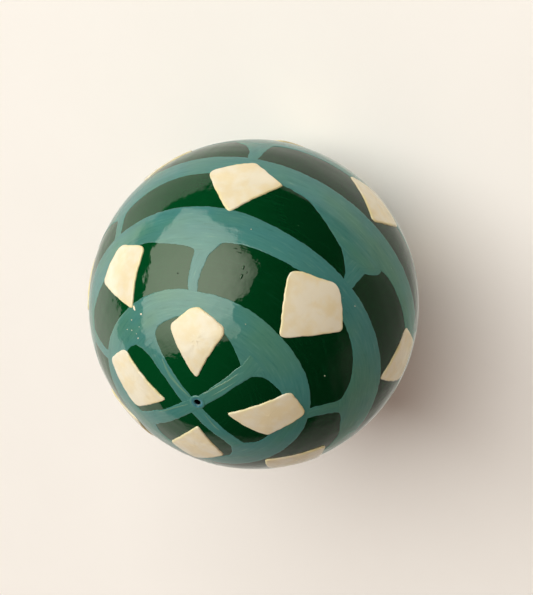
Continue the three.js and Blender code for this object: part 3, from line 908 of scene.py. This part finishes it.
def tile_corners(name):
    """Tip, east, end and west corner of a CAD tile in mm on the plane that touches the ball
    under its middle, with that plane's origin direction and axes."""
    node_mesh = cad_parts[name].data
    co = np.array([v.co for v in node_mesh.vertices])
    middle = co.mean(axis=0)
    middle /= np.linalg.norm(middle)
    east, south = flat_axes(middle)
    outer = co[np.linalg.norm(co, axis=1) > np.linalg.norm(co, axis=1).max() - 0.2 * MM]
    reach = outer @ middle
    flat = np.stack([outer @ east / reach, outer @ south / reach], axis=1) * BALL_R / MM
    picks = [flat[:, 1].argmin(), flat[:, 0].argmax(), flat[:, 1].argmax(), flat[:, 0].argmin()]
    corners = flat[picks]
    outward = corners - corners.mean(axis=0)
    outward /= np.linalg.norm(outward, axis=1, keepdims=True)
    reaches = np.array(CORNER_REACHES.get(name, CORNER_REACH))
    return corners + reaches[:, None] * outward, middle, east, south


# %% [markdown]
# Each tile was dabbed on by hand, so its corners are rounded by different amounts and its sides
# bow in or out. `trims` says how many millimetres of side each corner takes, in the order tip,
# east, end, west. `bows` says how far each side bulges, starting with the side from tip to
# east. Tiles that are not listed draw theirs at random from the same range.

# %% Outline of a tile
TILE_TRIMS = {
    "tile_north_cap_1": (1.6, 1.6, 2.2, 2.6), "tile_north_cap_2": (0.7, 2.2, 1.6, 1.4),
    "tile_north_cap_4": (0.9, 1.6, 2.0, 1.0), "tile_north_cap_3": (1.0, 1.0, 1.2, 1.0),
    "tile_belt_1_1": (1.6, 3.0, 1.6, 1.2), "tile_belt_1_2": (1.0, 1.4, 2.2, 2.4),
    "tile_belt_2_1": (1.6, 2.4, 1.0, 0.9), "tile_belt_2_2": (3.4, 1.8, 1.6, 2.0),
    "tile_belt_3_2": (3.6, 1.6, 1.8, 2.2), "tile_belt_1_3": (3.2, 1.8, 1.4, 2.0),
}
TILE_BOWS = {
    "tile_north_cap_1": (0.5, 0.25, 0.2, -0.45), "tile_north_cap_2": (0.1, 0.5, 0.3, -0.2),
    "tile_north_cap_4": (-0.3, 0.2, 0.2, 0.6), "tile_belt_1_1": (0.35, 0.15, 0.35, 0.2),
    "tile_belt_1_2": (0.3, 0.35, 0.1, -0.35), "tile_belt_2_1": (0.3, 0.15, -0.1, 0.15),
}


def bowed_side(start, stop, bow):
    share = np.linspace(0, 1, 40)[:, None]
    along = stop - start
    outward = np.array([along[1], -along[0]]) / np.linalg.norm(along)
    return start + along * share + outward * bow * 4 * share * (1 - share)


def corner_curve(before, after, trim):
    """Quadratic curve that cuts a corner, with the two sides that it shortens."""
    run_in = np.linalg.norm(before - before[-1], axis=1)
    run_out = np.linalg.norm(after - after[0], axis=1)
    kept_in = before[run_in > trim]
    kept_out = after[run_out > trim]
    t = np.linspace(0, 1, 12)[:, None]
    curve = (1 - t) ** 2 * kept_in[-1] + 2 * t * (1 - t) * before[-1] + t * t * kept_out[0]
    return curve


def evenly_spaced(outline, count):
    closed = np.concatenate([outline, outline[:1]])
    run = np.concatenate([[0], np.cumsum(np.linalg.norm(np.diff(closed, axis=0), axis=1))])
    wanted = np.linspace(0, run[-1], count, endpoint=False)
    return np.stack([np.interp(wanted, run, closed[:, k]) for k in (0, 1)], axis=1)


def tile_outline(name, seed):
    """Closed outline of a tile in mm, clockwise as seen from outside, and its plane."""
    corners, middle, east, south = tile_corners(name)
    draws = np.random.default_rng(seed)
    trims = TILE_TRIMS.get(name, draws.uniform(0.9, 2.2, 4))
    bows = TILE_BOWS.get(name, draws.uniform(-0.2, 0.45, 4))
    sides = [bowed_side(corners[k], corners[(k + 1) % 4], bows[k]) for k in range(4)]
    pieces = []
    for k in range(4):
        pieces.append(corner_curve(sides[k - 1], sides[k], trims[k]))
        from_start = np.linalg.norm(sides[k] - sides[k][0], axis=1)
        from_stop = np.linalg.norm(sides[k] - sides[k][-1], axis=1)
        pieces.append(sides[k][(from_start > trims[k]) & (from_stop > trims[(k + 1) % 4])])
    outline = evenly_spaced(np.concatenate(pieces), OUTLINE_POINTS)
    angle = np.linspace(0, 2 * math.pi, OUTLINE_POINTS, endpoint=False)
    outward = outline - outline.mean(axis=0)
    outward /= np.linalg.norm(outward, axis=1, keepdims=True)
    rough = ragged(np.stack([outline[:, 0], outline[:, 1], 0 * angle + seed], axis=-1) * MM, seed) / MM
    push = wander(angle, seed, 0.09) + 0.9 * rough
    return outline + outward * push[:, None], middle, east, south


# %% Cream tiles
def distance_to_outline(points, outline):
    """Shortest distance from each flat point to a closed outline, in mm."""
    start = outline[None]
    step = np.roll(outline, -1, axis=0)[None] - start
    away = points[:, None] - start
    share = np.clip((away * step).sum(-1) / (step * step).sum(-1), 0, 1)
    return np.linalg.norm(away - share[..., None] * step, axis=-1).min(axis=1)


def dome_faces(rows, columns):
    """Faces of nested loops from the underside up, closed by a point on top and one below."""
    faces = grid_faces(rows, columns, wrap_columns=True)
    last = (rows - 1) * columns
    top_point = rows * columns
    faces += [(last + j, top_point, last + (j + 1) % columns) for j in range(columns)]
    faces += [(j, (j + 1) % columns, top_point + 1) for j in range(columns)]
    return faces


def cream_tile(name, seed):
    outline, middle, east, south = tile_outline(name, seed)
    centre = outline.mean(axis=0)
    inward = centre - outline
    depth = np.linalg.norm(inward, axis=1, keepdims=True)
    loops = [outline + inward / depth * np.minimum(step, depth * 0.92) for step in TILE_LOOPS]
    flat = np.concatenate(loops + [centre[None]])
    distance = distance_to_outline(flat, outline)
    distance[:OUTLINE_POINTS] = 0
    radius = BALL_R / MM
    unit = middle + (flat[:, :1] * east + flat[:, 1:] * south) / radius
    unit /= np.linalg.norm(unit, axis=1, keepdims=True)
    slow = unevenness(unit * BALL_R, 2.6 * MM, seed)
    quick = unevenness(unit * BALL_R, 1.1 * MM, seed + 9)
    lumps = (TILE_SLOW_LUMPS * slow + TILE_QUICK_LUMPS * quick) * np.clip(distance / 1.2, 0, 1)
    height = loaf(distance, TILE_THICKNESS, TILE_RIM) + lumps - 0.02
    top = unit * (BALL_R + height * MM)[:, None]
    under_loop = unit[:OUTLINE_POINTS] * (BALL_R - TILE_FOOT * MM)
    under_centre = unit[-1:] * (BALL_R - TILE_FOOT * MM)
    points = np.concatenate([under_loop, top, under_centre])
    count = OUTLINE_POINTS
    rows = 1 + len(TILE_LOOPS)
    faces = dome_faces(rows, count)
    brush = np.stack([flat[:, 0] / 3, flat[:, 1], 0 * flat[:, 0] + seed], axis=1)
    brush = np.concatenate([brush[:count], brush, brush[-1:]])
    edge = np.concatenate([np.zeros(count), distance, [0.0]])
    piece = make_piece(name.replace("tile", "cream_tile"), points, faces, cream, brush, edge)
    settle(piece, "case", "tile_enamel", name)
    return piece


tile_names = sorted(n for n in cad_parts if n.startswith("tile_"))
for seed, name in enumerate(tile_names):
    tile = cream_tile(name, 300 + seed)
print("tiles:", len(tile_names), "with", len(tile.data.polygons), "faces each")

# %% [markdown]
# ## Spatter and lumps
#
# The painter's brush shook: a line of tiny cream drops crosses the first ring, and one drop ran
# off the tip of a tile. Dust under the lacquer left a few lumps in the green. Each is a small
# flat-bottomed dab, given as longitude, colatitude, half length, half width in millimetres.

# %% Drops and lumps
CREAM_DROPS = ((91.5, 33.5, 0.35, 0.3), (100, 34, 0.2, 0.16), (103, 28, 0.25, 0.2), (104, 31.5, 0.16, 0.16),
               (107, 33, 0.16, 0.14), (102, 29.4, 0.14, 0.12), (97, 30.5, 0.12, 0.12),
               (94.6, 36.6, 0.42, 0.75), (60, 25.2, 0.1, 0.1), (331, 42, 0.14, 0.12), (38, 60, 0.15, 0.12),
               (350, 61, 0.14, 0.14), (22, 32, 0.12, 0.1))
GREEN_LUMPS = ((34.4, 44.6, 0.34, 0.8), (35.2, 47.4, 0.4, 0.55), (33.0, 46.4, 0.22, 0.3),
               (88.0, 46.5, 0.3, 0.45), (64.5, 42.5, 0.2, 0.2), (52.0, 76.5, 0.45, 0.35),
               (39.0, 51.5, 0.8, 0.16), (41.0, 52.4, 0.6, 0.14), (300.0, 20.0, 0.2, 0.2))
DAB_ROUND = 20             # points in one loop of a dab
DAB_FOOT = 0.12            # mm that a dab reaches down into what it lies on
DAB_CLEAR = 0.03           # mm that its rim stands clear
DAB_SHARES = (1.0, 0.92, 0.75, 0.5, 0.25)


def dabs(name, places, rise, paint, finish, seed):
    """One piece made of small closed dabs on the ball."""
    points, faces = [], []
    bearing = np.linspace(0, 2 * math.pi, DAB_ROUND, endpoint=False)
    for k, (lon, colat, half_long, half_wide) in enumerate(places):
        middle = on_ball(1.0, math.radians(colat), math.radians(lon))
        east, south = flat_axes(middle)
        uneven = 1 + wander(bearing, seed + k, 0.12)
        base = sum(len(p) for p in points)
        rows = [(1.0, -DAB_FOOT)]
        rows += [(share, rise * math.sqrt(1 - share ** 2) + DAB_CLEAR) for share in DAB_SHARES]
        for share, height in rows:
            x = share * uneven * half_long * np.cos(bearing)
            y = share * uneven * half_wide * np.sin(bearing)
            unit = middle + (x[:, None] * east + y[:, None] * south) * MM / BALL_R
            unit /= np.linalg.norm(unit, axis=1, keepdims=True)
            points.append(unit * (BALL_R + height * MM))
        points.append(np.stack([middle * (BALL_R + (rise + DAB_CLEAR) * MM),
                                middle * (BALL_R - DAB_FOOT * MM)]))
        faces += [tuple(base + i for i in face) for face in dome_faces(len(rows), DAB_ROUND)]
    joined = np.concatenate(points)
    piece = make_piece(name, joined, faces, paint, joined / MM, np.full(len(joined), 3.0))
    settle(piece, "case", finish)


dabs("cream_drops", CREAM_DROPS, 0.14, cream, "tile_enamel", 900)
dabs("green_lumps", GREEN_LUMPS, 0.20, green, "shell_paint", 950)
print("drops and lumps:", len(CREAM_DROPS) + len(GREEN_LUMPS))

# %% [markdown]
# ## Peep-hole bushes
#
# A small metal eyelet lines each peep hole. The painter ran round it with a wet brush, so the
# flange wears a puddle of blue-grey paint with a soft raised lip, and the bore is painted near black as
# shade.

# %% Eyelets
EYELET_DEEP = (0.045, 0.17, 0.24)
EYELET_LIGHT = (0.11, 0.30, 0.37)
EYELET_TEAL = (0.075, 0.245, 0.205)
EYELET_BORE_SHADE = (0.001, 0.001, 0.002)    # inside the bore
eyelet_paint, tree, shader, millimetres, marks, skin = painted_material(
    "eyelet_paint", marks_per_mm=1.5, contrast=1.5, swell=0.02, drag=0.006)
tint = mix_colour(tree, span(tree, noise_of(tree, millimetres, 0.9, 2.0), 0.4, 0.65),
                  EYELET_DEEP, EYELET_LIGHT)
flat_place = node(tree, "ShaderNodeVectorMath", {"operation": "MULTIPLY"},
                  {0: millimetres, 1: (1.0, 1.0, 0.0)}).outputs[0]
from_axis = node(tree, "ShaderNodeVectorMath", {"operation": "LENGTH"}, {0: flat_place}).outputs["Value"]
brushed_over = mix_colour(tree, span(tree, from_axis, 1.25, 1.9), tint, EYELET_TEAL)
# Painted shade: the bore and its inner lip are coloured near black.
inside = mix_colour(tree, span(tree, from_axis, 0.84, 1.0), EYELET_BORE_SHADE, brushed_over)
tree.links.new(inside, shader.inputs["Base Color"])
gloss(tree, shader, marks)

EYELET_STEPS = 64
EYELET_BORE_R = 0.80       # mm, with the rest of the section below
EYELET_SECTION = ((EYELET_BORE_R, -4.0), (1.60, -4.0), (1.60, -0.70), (2.10, -0.70), (2.28, -0.45),
                  (2.30, -0.10), (2.22, 0.10), (2.00, 0.20), (1.60, 0.20), (1.30, 0.16),
                  (1.08, 0.06), (0.92, -0.10), (0.83, -0.35), (EYELET_BORE_R, -0.80))


def eyelet(name, cad_node, side):
    section = np.array(EYELET_SECTION) * MM
    rounded = section.copy()
    rounded[:, 1] += np.sqrt(BALL_R ** 2 - rounded[:, 0] ** 2)
    points = turned(rounded, EYELET_STEPS)
    points[..., 2] *= side
    faces = grid_faces(len(rounded), EYELET_STEPS, wrap_rows=True, wrap_columns=True)
    if side > 0:
        faces = [face[::-1] for face in faces]
    brush = points / MM
    piece = make_piece(name, points, faces, eyelet_paint, brush, np.full(points.shape[:-1], 3.0))
    settle(piece, "case", "eyelet", cad_node)


eyelet("start_eyelet", "start_peep_bush", 1)
eyelet("finish_eyelet", "finish_peep_bush", -1)
print("eyelet bore:", EYELET_BORE_R * 2, "mm")

# %% [markdown]
# ## What is inside
#
# Nobody sees these pieces unless the ball is sawn open, but they are real. The core is turned
# wood, the wall blocks are sawn wood with their edges eased, and the runner is a steel bearing
# ball. The wood shares one grain group: rings about a slanting axis, stretched into long fibres.

# %% Group: wood grain
wood_grain, ends_in, ends_out = group_of(
    "Wood grain",
    [("Vector", "Millimetres", None), ("Float", "Ring spacing", 2.4)],
    [("Float", "Rings"), ("Float", "Fibres")])
turned_axes = node(wood_grain, "ShaderNodeMapping", None,
                   {"Vector": ends_in.outputs["Millimetres"], "Rotation": (0.3, 1.35, 0.2),
                    "Scale": (1.0, 1.0, 0.08)})
grain_wave = node(wood_grain, "ShaderNodeTexWave",
                  {"wave_type": "RINGS", "rings_direction": "Z", "wave_profile": "SAW"},
                  {"Vector": turned_axes.outputs["Vector"], "Distortion": 2.5, "Detail": 2.0,
                   "Detail Scale": 0.4,
                   "Scale": math_node(wood_grain, "DIVIDE", 0.32, ends_in.outputs["Ring spacing"])})
wood_grain.links.new(grain_wave.outputs["Fac"], ends_out.inputs["Rings"])
fibres = noise_of(wood_grain, turned_axes.outputs["Vector"], 3.5, 3.0, 0.6)
wood_grain.links.new(fibres, ends_out.inputs["Fibres"])
print("group:", wood_grain.name)


# %% Woods
def wood(name, early, late, roughness):
    material, tree, shader = plain_material(name)
    millimetres = place_in_mm(tree)
    grain = node(tree, "ShaderNodeGroup", {"node_tree": wood_grain}, {"Millimetres": millimetres})
    base = mix_colour(tree, grain.outputs["Rings"], early, late)
    base = mix_colour(tree, span(tree, grain.outputs["Fibres"], 0.45, 0.8, 0.0, 0.4), base,
                      tuple(0.6 * x for x in late))
    tree.links.new(base, shader.inputs["Base Color"])
    tree.links.new(span(tree, grain.outputs["Fibres"], 0.3, 0.7, roughness, roughness + 0.15),
                   shader.inputs["Roughness"])
    height = math_node(tree, "MULTIPLY", grain.outputs["Fibres"], 0.03 * MM)
    bump = node(tree, "ShaderNodeBump", None, {"Height": height, "Distance": 1.0})
    tree.links.new(bump.outputs["Normal"], shader.inputs["Normal"])
    return material


core_wood = wood("core_wood", (0.62, 0.44, 0.25), (0.42, 0.27, 0.13), 0.5)
wall_wood = wood("wall_wood", (0.55, 0.36, 0.18), (0.33, 0.19, 0.08), 0.55)

# %% Core ball and wall blocks
CORE_STEPS = 120           # how many times a section is repeated round the core
DIMPLE_PLAY = 0.4          # mm that the home dimple is rounder than the steel ball
EASED_EDGE = 0.35          # mm sanded off the edges of a wall block


def pole_to_pole_faces(rows, columns):
    """Faces of a grid, and a fan from each end row to one of the two points after the grid."""
    faces = grid_faces(rows, columns, wrap_columns=True)
    tail = (rows - 1) * columns
    top_point = rows * columns
    faces += [(j, (j + 1) % columns, top_point) for j in range(columns)]
    faces += [(tail + (j + 1) % columns, tail + j, top_point + 1) for j in range(columns)]
    return faces


core_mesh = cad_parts["core_ball"].data
axis_heights = [v.co.z for v in core_mesh.vertices if math.hypot(v.co.x, v.co.y) < 0.05 * MM]
HOME_Z = max(axis_heights)
DIMPLE_R = STEEL_R + DIMPLE_PLAY * MM
dimple_middle = HOME_Z + DIMPLE_R
rim_z = (CORE_R ** 2 - DIMPLE_R ** 2 + dimple_middle ** 2) / (2 * dimple_middle)
rim_r = math.sqrt(CORE_R ** 2 - rim_z ** 2)
dimple = arc_section(DIMPLE_R, 180, 180 - math.degrees(math.asin(rim_r / DIMPLE_R)), 4)
dimple[:, 1] += dimple_middle
rim_angle = math.degrees(math.asin(rim_r / CORE_R))
flank = arc_section(CORE_R, rim_angle, 180 - rim_angle, 2)[1:-1]
core_section = np.concatenate([dimple[1:], flank, (dimple * [1, -1])[::-1][:-1]])
core_points = turned(core_section, CORE_STEPS)
core_points = np.concatenate([core_points.reshape(-1, 3), [[0, 0, HOME_Z], [0, 0, -HOME_Z]]])
core_faces = pole_to_pole_faces(len(core_section), CORE_STEPS)
core = make_piece("turned_core", core_points, core_faces, core_wood)
settle(core, "case", "core_wood", "core_ball")


def eased_block(name):
    """Copy of a CAD wall block with its edges sanded round."""
    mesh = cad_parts[name].data.copy()
    mesh.name = name.replace("wall", "block")
    piece = bpy.data.objects.new(mesh.name, mesh)
    bpy.context.scene.collection.objects.link(piece)
    mesh.materials.clear()
    mesh.materials.append(wall_wood)
    mesh.shade_smooth()
    bevel = piece.modifiers.new("eased edges", "BEVEL")
    bevel.width = EASED_EDGE * MM
    bevel.segments = 2
    bevel.limit_method = "ANGLE"
    bevel.angle_limit = math.radians(40)
    mesh.set_sharp_from_angle(angle=math.radians(50))
    settle(piece, "case", "wall_wood", name)


wall_names = sorted(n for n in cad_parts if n.startswith("wall_"))
for name in wall_names:
    eased_block(name)
print("inside: core and", len(wall_names), "blocks")

# %% Steel ball
BALL_STEPS = 64
steel, tree, shader = plain_material("bearing_steel")
shader.inputs["Metallic"].default_value = 1.0
coordinates = node(tree, "ShaderNodeTexCoord")
scuffs = noise_of(tree, coordinates.outputs["Object"], 900.0, 4.0, 0.7)
tree.links.new(mix_colour(tree, scuffs, (0.56, 0.57, 0.59), (0.66, 0.67, 0.68)),
               shader.inputs["Base Color"])
tree.links.new(span(tree, scuffs, 0.35, 0.7, 0.08, 0.22), shader.inputs["Roughness"])

run_middle = np.array((run_low + run_high) / 2)
poles = arc_section(STEEL_R, 0, 180, 5)[1:-1]
ball_points = turned(poles, BALL_STEPS).reshape(-1, 3)
ball_points = np.concatenate([ball_points, [[0, 0, STEEL_R], [0, 0, -STEEL_R]]]) + run_middle
ball_faces = pole_to_pole_faces(len(poles), BALL_STEPS)
runner = make_piece("bearing_ball", ball_points, ball_faces, steel)
settle(runner, "runner", "steel", "steel_ball")
print("runner:", round(2 * STEEL_R / MM, 2), "mm")

# %% [markdown]
# ## Floor, softbox and surroundings
#
# The ball lies on plain warm-white paper. Two round soft lights stand on its left. One is linked
# to the floor alone and throws the soft shadow to the right; the other is linked to everything
# but the floor and lights the ball. Neither shows in the lacquer. What shows there, as a large
# pale patch, is a glowing panel that only mirror-like rays can see.
#
# The room overhead is dim and the table all round is pale, so the lacquer is dark in the middle
# and hazy towards the outline. The world carries that: mirror-like rays see the dim room or the
# pale table by their direction, and everything else sees a fill that is darker on the right.

# %% Floor
paper, tree, shader = plain_material("paper")
coordinates = node(tree, "ShaderNodeTexCoord")
mottle = noise_of(tree, coordinates.outputs["Object"], 25.0, 3.0)
tree.links.new(mix_colour(tree, mottle, (0.80, 0.765, 0.715), (0.83, 0.795, 0.745)),
               shader.inputs["Base Color"])
shader.inputs["Roughness"].default_value = 0.9
shader.inputs["Specular IOR Level"].default_value = 0.1
FLOOR_HALF = 3.0
corners = np.array([[-1, -1, 0], [1, -1, 0], [1, 1, 0], [-1, 1, 0]]) * FLOOR_HALF
floor = make_piece("floor", corners + [0, 0, FLOOR_Z], [(0, 1, 2, 3)], paper)
floor.visible_glossy = False

# %% Key lights
def soft_key(name, place, across, power, only_floor):
    """Round soft light aimed at the ball, which lights either the floor or everything else."""
    data = bpy.data.lights.new(name, "AREA")
    data.shape = "DISK"
    data.size = across
    data.energy = power
    data.color = (0.97, 1.0, 0.985)
    light = bpy.data.objects.new(name, data)
    light.location = view_axes @ place
    light.rotation_euler = (-light.location).to_track_quat("-Z", "Y").to_euler()
    light.visible_camera = False
    light.visible_glossy = False
    bpy.context.scene.collection.objects.link(light)
    lit = bpy.data.collections.new(name + " lights")
    lit.objects.link(floor)
    lit.collection_objects[0].light_linking.link_state = "INCLUDE" if only_floor else "EXCLUDE"
    light.light_linking.receiver_collection = lit


FLOOR_KEY_PLACE = Vector((-2.605, 2.011, 3.432))    # metres right, up and back from the ball
BALL_KEY_PLACE = Vector((-2.12, 0.33, 2.08))
soft_key("floor_key", FLOOR_KEY_PLACE, across=6.7, power=590.0, only_floor=True)
soft_key("ball_key", BALL_KEY_PLACE, across=2.4, power=75.0, only_floor=False)

# %% Softbox that the lacquer mirrors
SOFTBOX_PLACE = Vector((-0.138, 0.015, 0.266))      # right, up and back from the ball
SOFTBOX_FACING = Vector((0.84, -0.321, -0.438))
SOFTBOX_UPRIGHT = Vector((0.324, 0.943, -0.072))
SOFTBOX_OUTLINE = ((-22, 21), (-22, 8), (-21, 0), (-22.5, -9), (-23, -16), (-17, -20), (8, -20.5),
                   (24, -20), (22, -14), (17, -11), (14, -5), (11, -1), (13, 2), (20, 5), (23, 11),
                   (25, 15), (23, 20), (18, 23), (11, 24.5), (1, 25), (-8, 23), (-17, 23))
SOFTBOX_BRIGHT = 4.3      # in the middle, where white paper in full light is 1
SOFTBOX_FALL = 45.0       # lost per square metre away from the middle
SOFTBOX_FAINTEST = 1.4
SOFTBOX_BLUE = 0.82       # share of blue in its light

back = -(view_axes @ SOFTBOX_FACING).normalized()
tall = view_axes @ SOFTBOX_UPRIGHT
tall = (tall - back * tall.dot(back)).normalized()
wide = tall.cross(back)
glow, tree, shader = plain_material("softbox_cloth")
shader.inputs["Base Color"].default_value = (0.0, 0.0, 0.0, 1.0)
shader.inputs["Roughness"].default_value = 1.0
shader.inputs["Emission Strength"].default_value = 1.0
from_hot = node(tree, "ShaderNodeVectorMath", {"operation": "DISTANCE"},
                {0: node(tree, "ShaderNodeTexCoord").outputs["Object"], 1: (-0.05, 0.04, 0.0)})
fall = math_node(tree, "POWER", from_hot.outputs["Value"], 2.0)
strength = math_node(tree, "SUBTRACT", SOFTBOX_BRIGHT, math_node(tree, "MULTIPLY", fall, SOFTBOX_FALL))
brightness = math_node(tree, "MAXIMUM", strength, SOFTBOX_FAINTEST)
warm = node(tree, "ShaderNodeCombineColor", None,
            {0: brightness, 1: brightness, 2: math_node(tree, "MULTIPLY", brightness, SOFTBOX_BLUE)})
tree.links.new(warm.outputs["Color"], shader.inputs["Emission Color"])
outline = np.array(SOFTBOX_OUTLINE) / 100
panel_points = np.concatenate([outline, 0 * outline[:, :1]], axis=1)
softbox = make_piece("softbox", panel_points, [tuple(range(len(outline)))], glow)
axes = Matrix((wide, tall, back)).transposed().to_4x4()
softbox.matrix_world = Matrix.Translation(view_axes @ SOFTBOX_PLACE) @ axes
softbox.visible_camera = False
softbox.visible_diffuse = False
softbox.visible_shadow = False

# %% World
FILL = (0.325, 0.248, 0.213)
ROOM = (0.018, 0.018, 0.016)
ROOM_VEIL = (0.24, 0.225, 0.19)
TABLE_FAR = (0.29, 0.27, 0.235)
TABLE_NEAR = (0.76, 0.74, 0.66)
TABLE_GLARE = (1.30, 1.26, 1.12)
world = bpy.data.worlds.new("studio")
bpy.context.scene.world = world
world.use_nodes = True
tree = world.node_tree
background = tree.nodes["Background"]
direction = node(tree, "ShaderNodeTexCoord").outputs["Generated"]
upward = node(tree, "ShaderNodeVectorMath", {"operation": "DOT_PRODUCT"},
              {0: direction, 1: view_back}).outputs["Value"]


def towards(azimuth):
    """How far a ray runs towards an azimuth, counted counterclockwise from the camera's right."""
    bearing = math.radians(azimuth)
    axis = view_axes @ Vector((math.cos(bearing), math.sin(bearing), 0))
    return node(tree, "ShaderNodeVectorMath", {"operation": "DOT_PRODUCT"},
                {0: direction, 1: axis}).outputs["Value"]


up_left = towards(140)
horizon = math_node(tree, "MULTIPLY_ADD", towards(205), -0.19)
horizon.node.inputs[2].default_value = -0.10
below = math_node(tree, "SUBTRACT", horizon, upward)
softness = span(tree, up_left, 0.3, -0.9, 0.02, 0.30)
table_seen = math_node(tree, "DIVIDE", below, softness, clamp=True)
table_light = mix_colour(tree, span(tree, up_left, -0.8, 0.1, smooth=False),
                         TABLE_FAR, TABLE_NEAR)
table_light = mix_colour(tree, span(tree, towards(178), 0.55, 0.92), table_light, TABLE_GLARE)
veil = math_node(tree, "MULTIPLY", span(tree, towards(355), 0.70, 0.95), span(tree, upward, 0.55, 0.15))
room = mix_colour(tree, veil, ROOM, ROOM_VEIL)
mirrored = mix_colour(tree, table_seen, room, table_light)
fill = mix_colour(tree, span(tree, towards(20), 0.0, 0.85, 0.0, 0.62), FILL, (0.0, 0.0, 0.0))
glossy = node(tree, "ShaderNodeLightPath").outputs["Is Glossy Ray"]
tree.links.new(mix_colour(tree, glossy, fill, mirrored), background.inputs["Color"])
bpy.context.scene.view_settings.view_transform = "Standard"
print("stage ready")
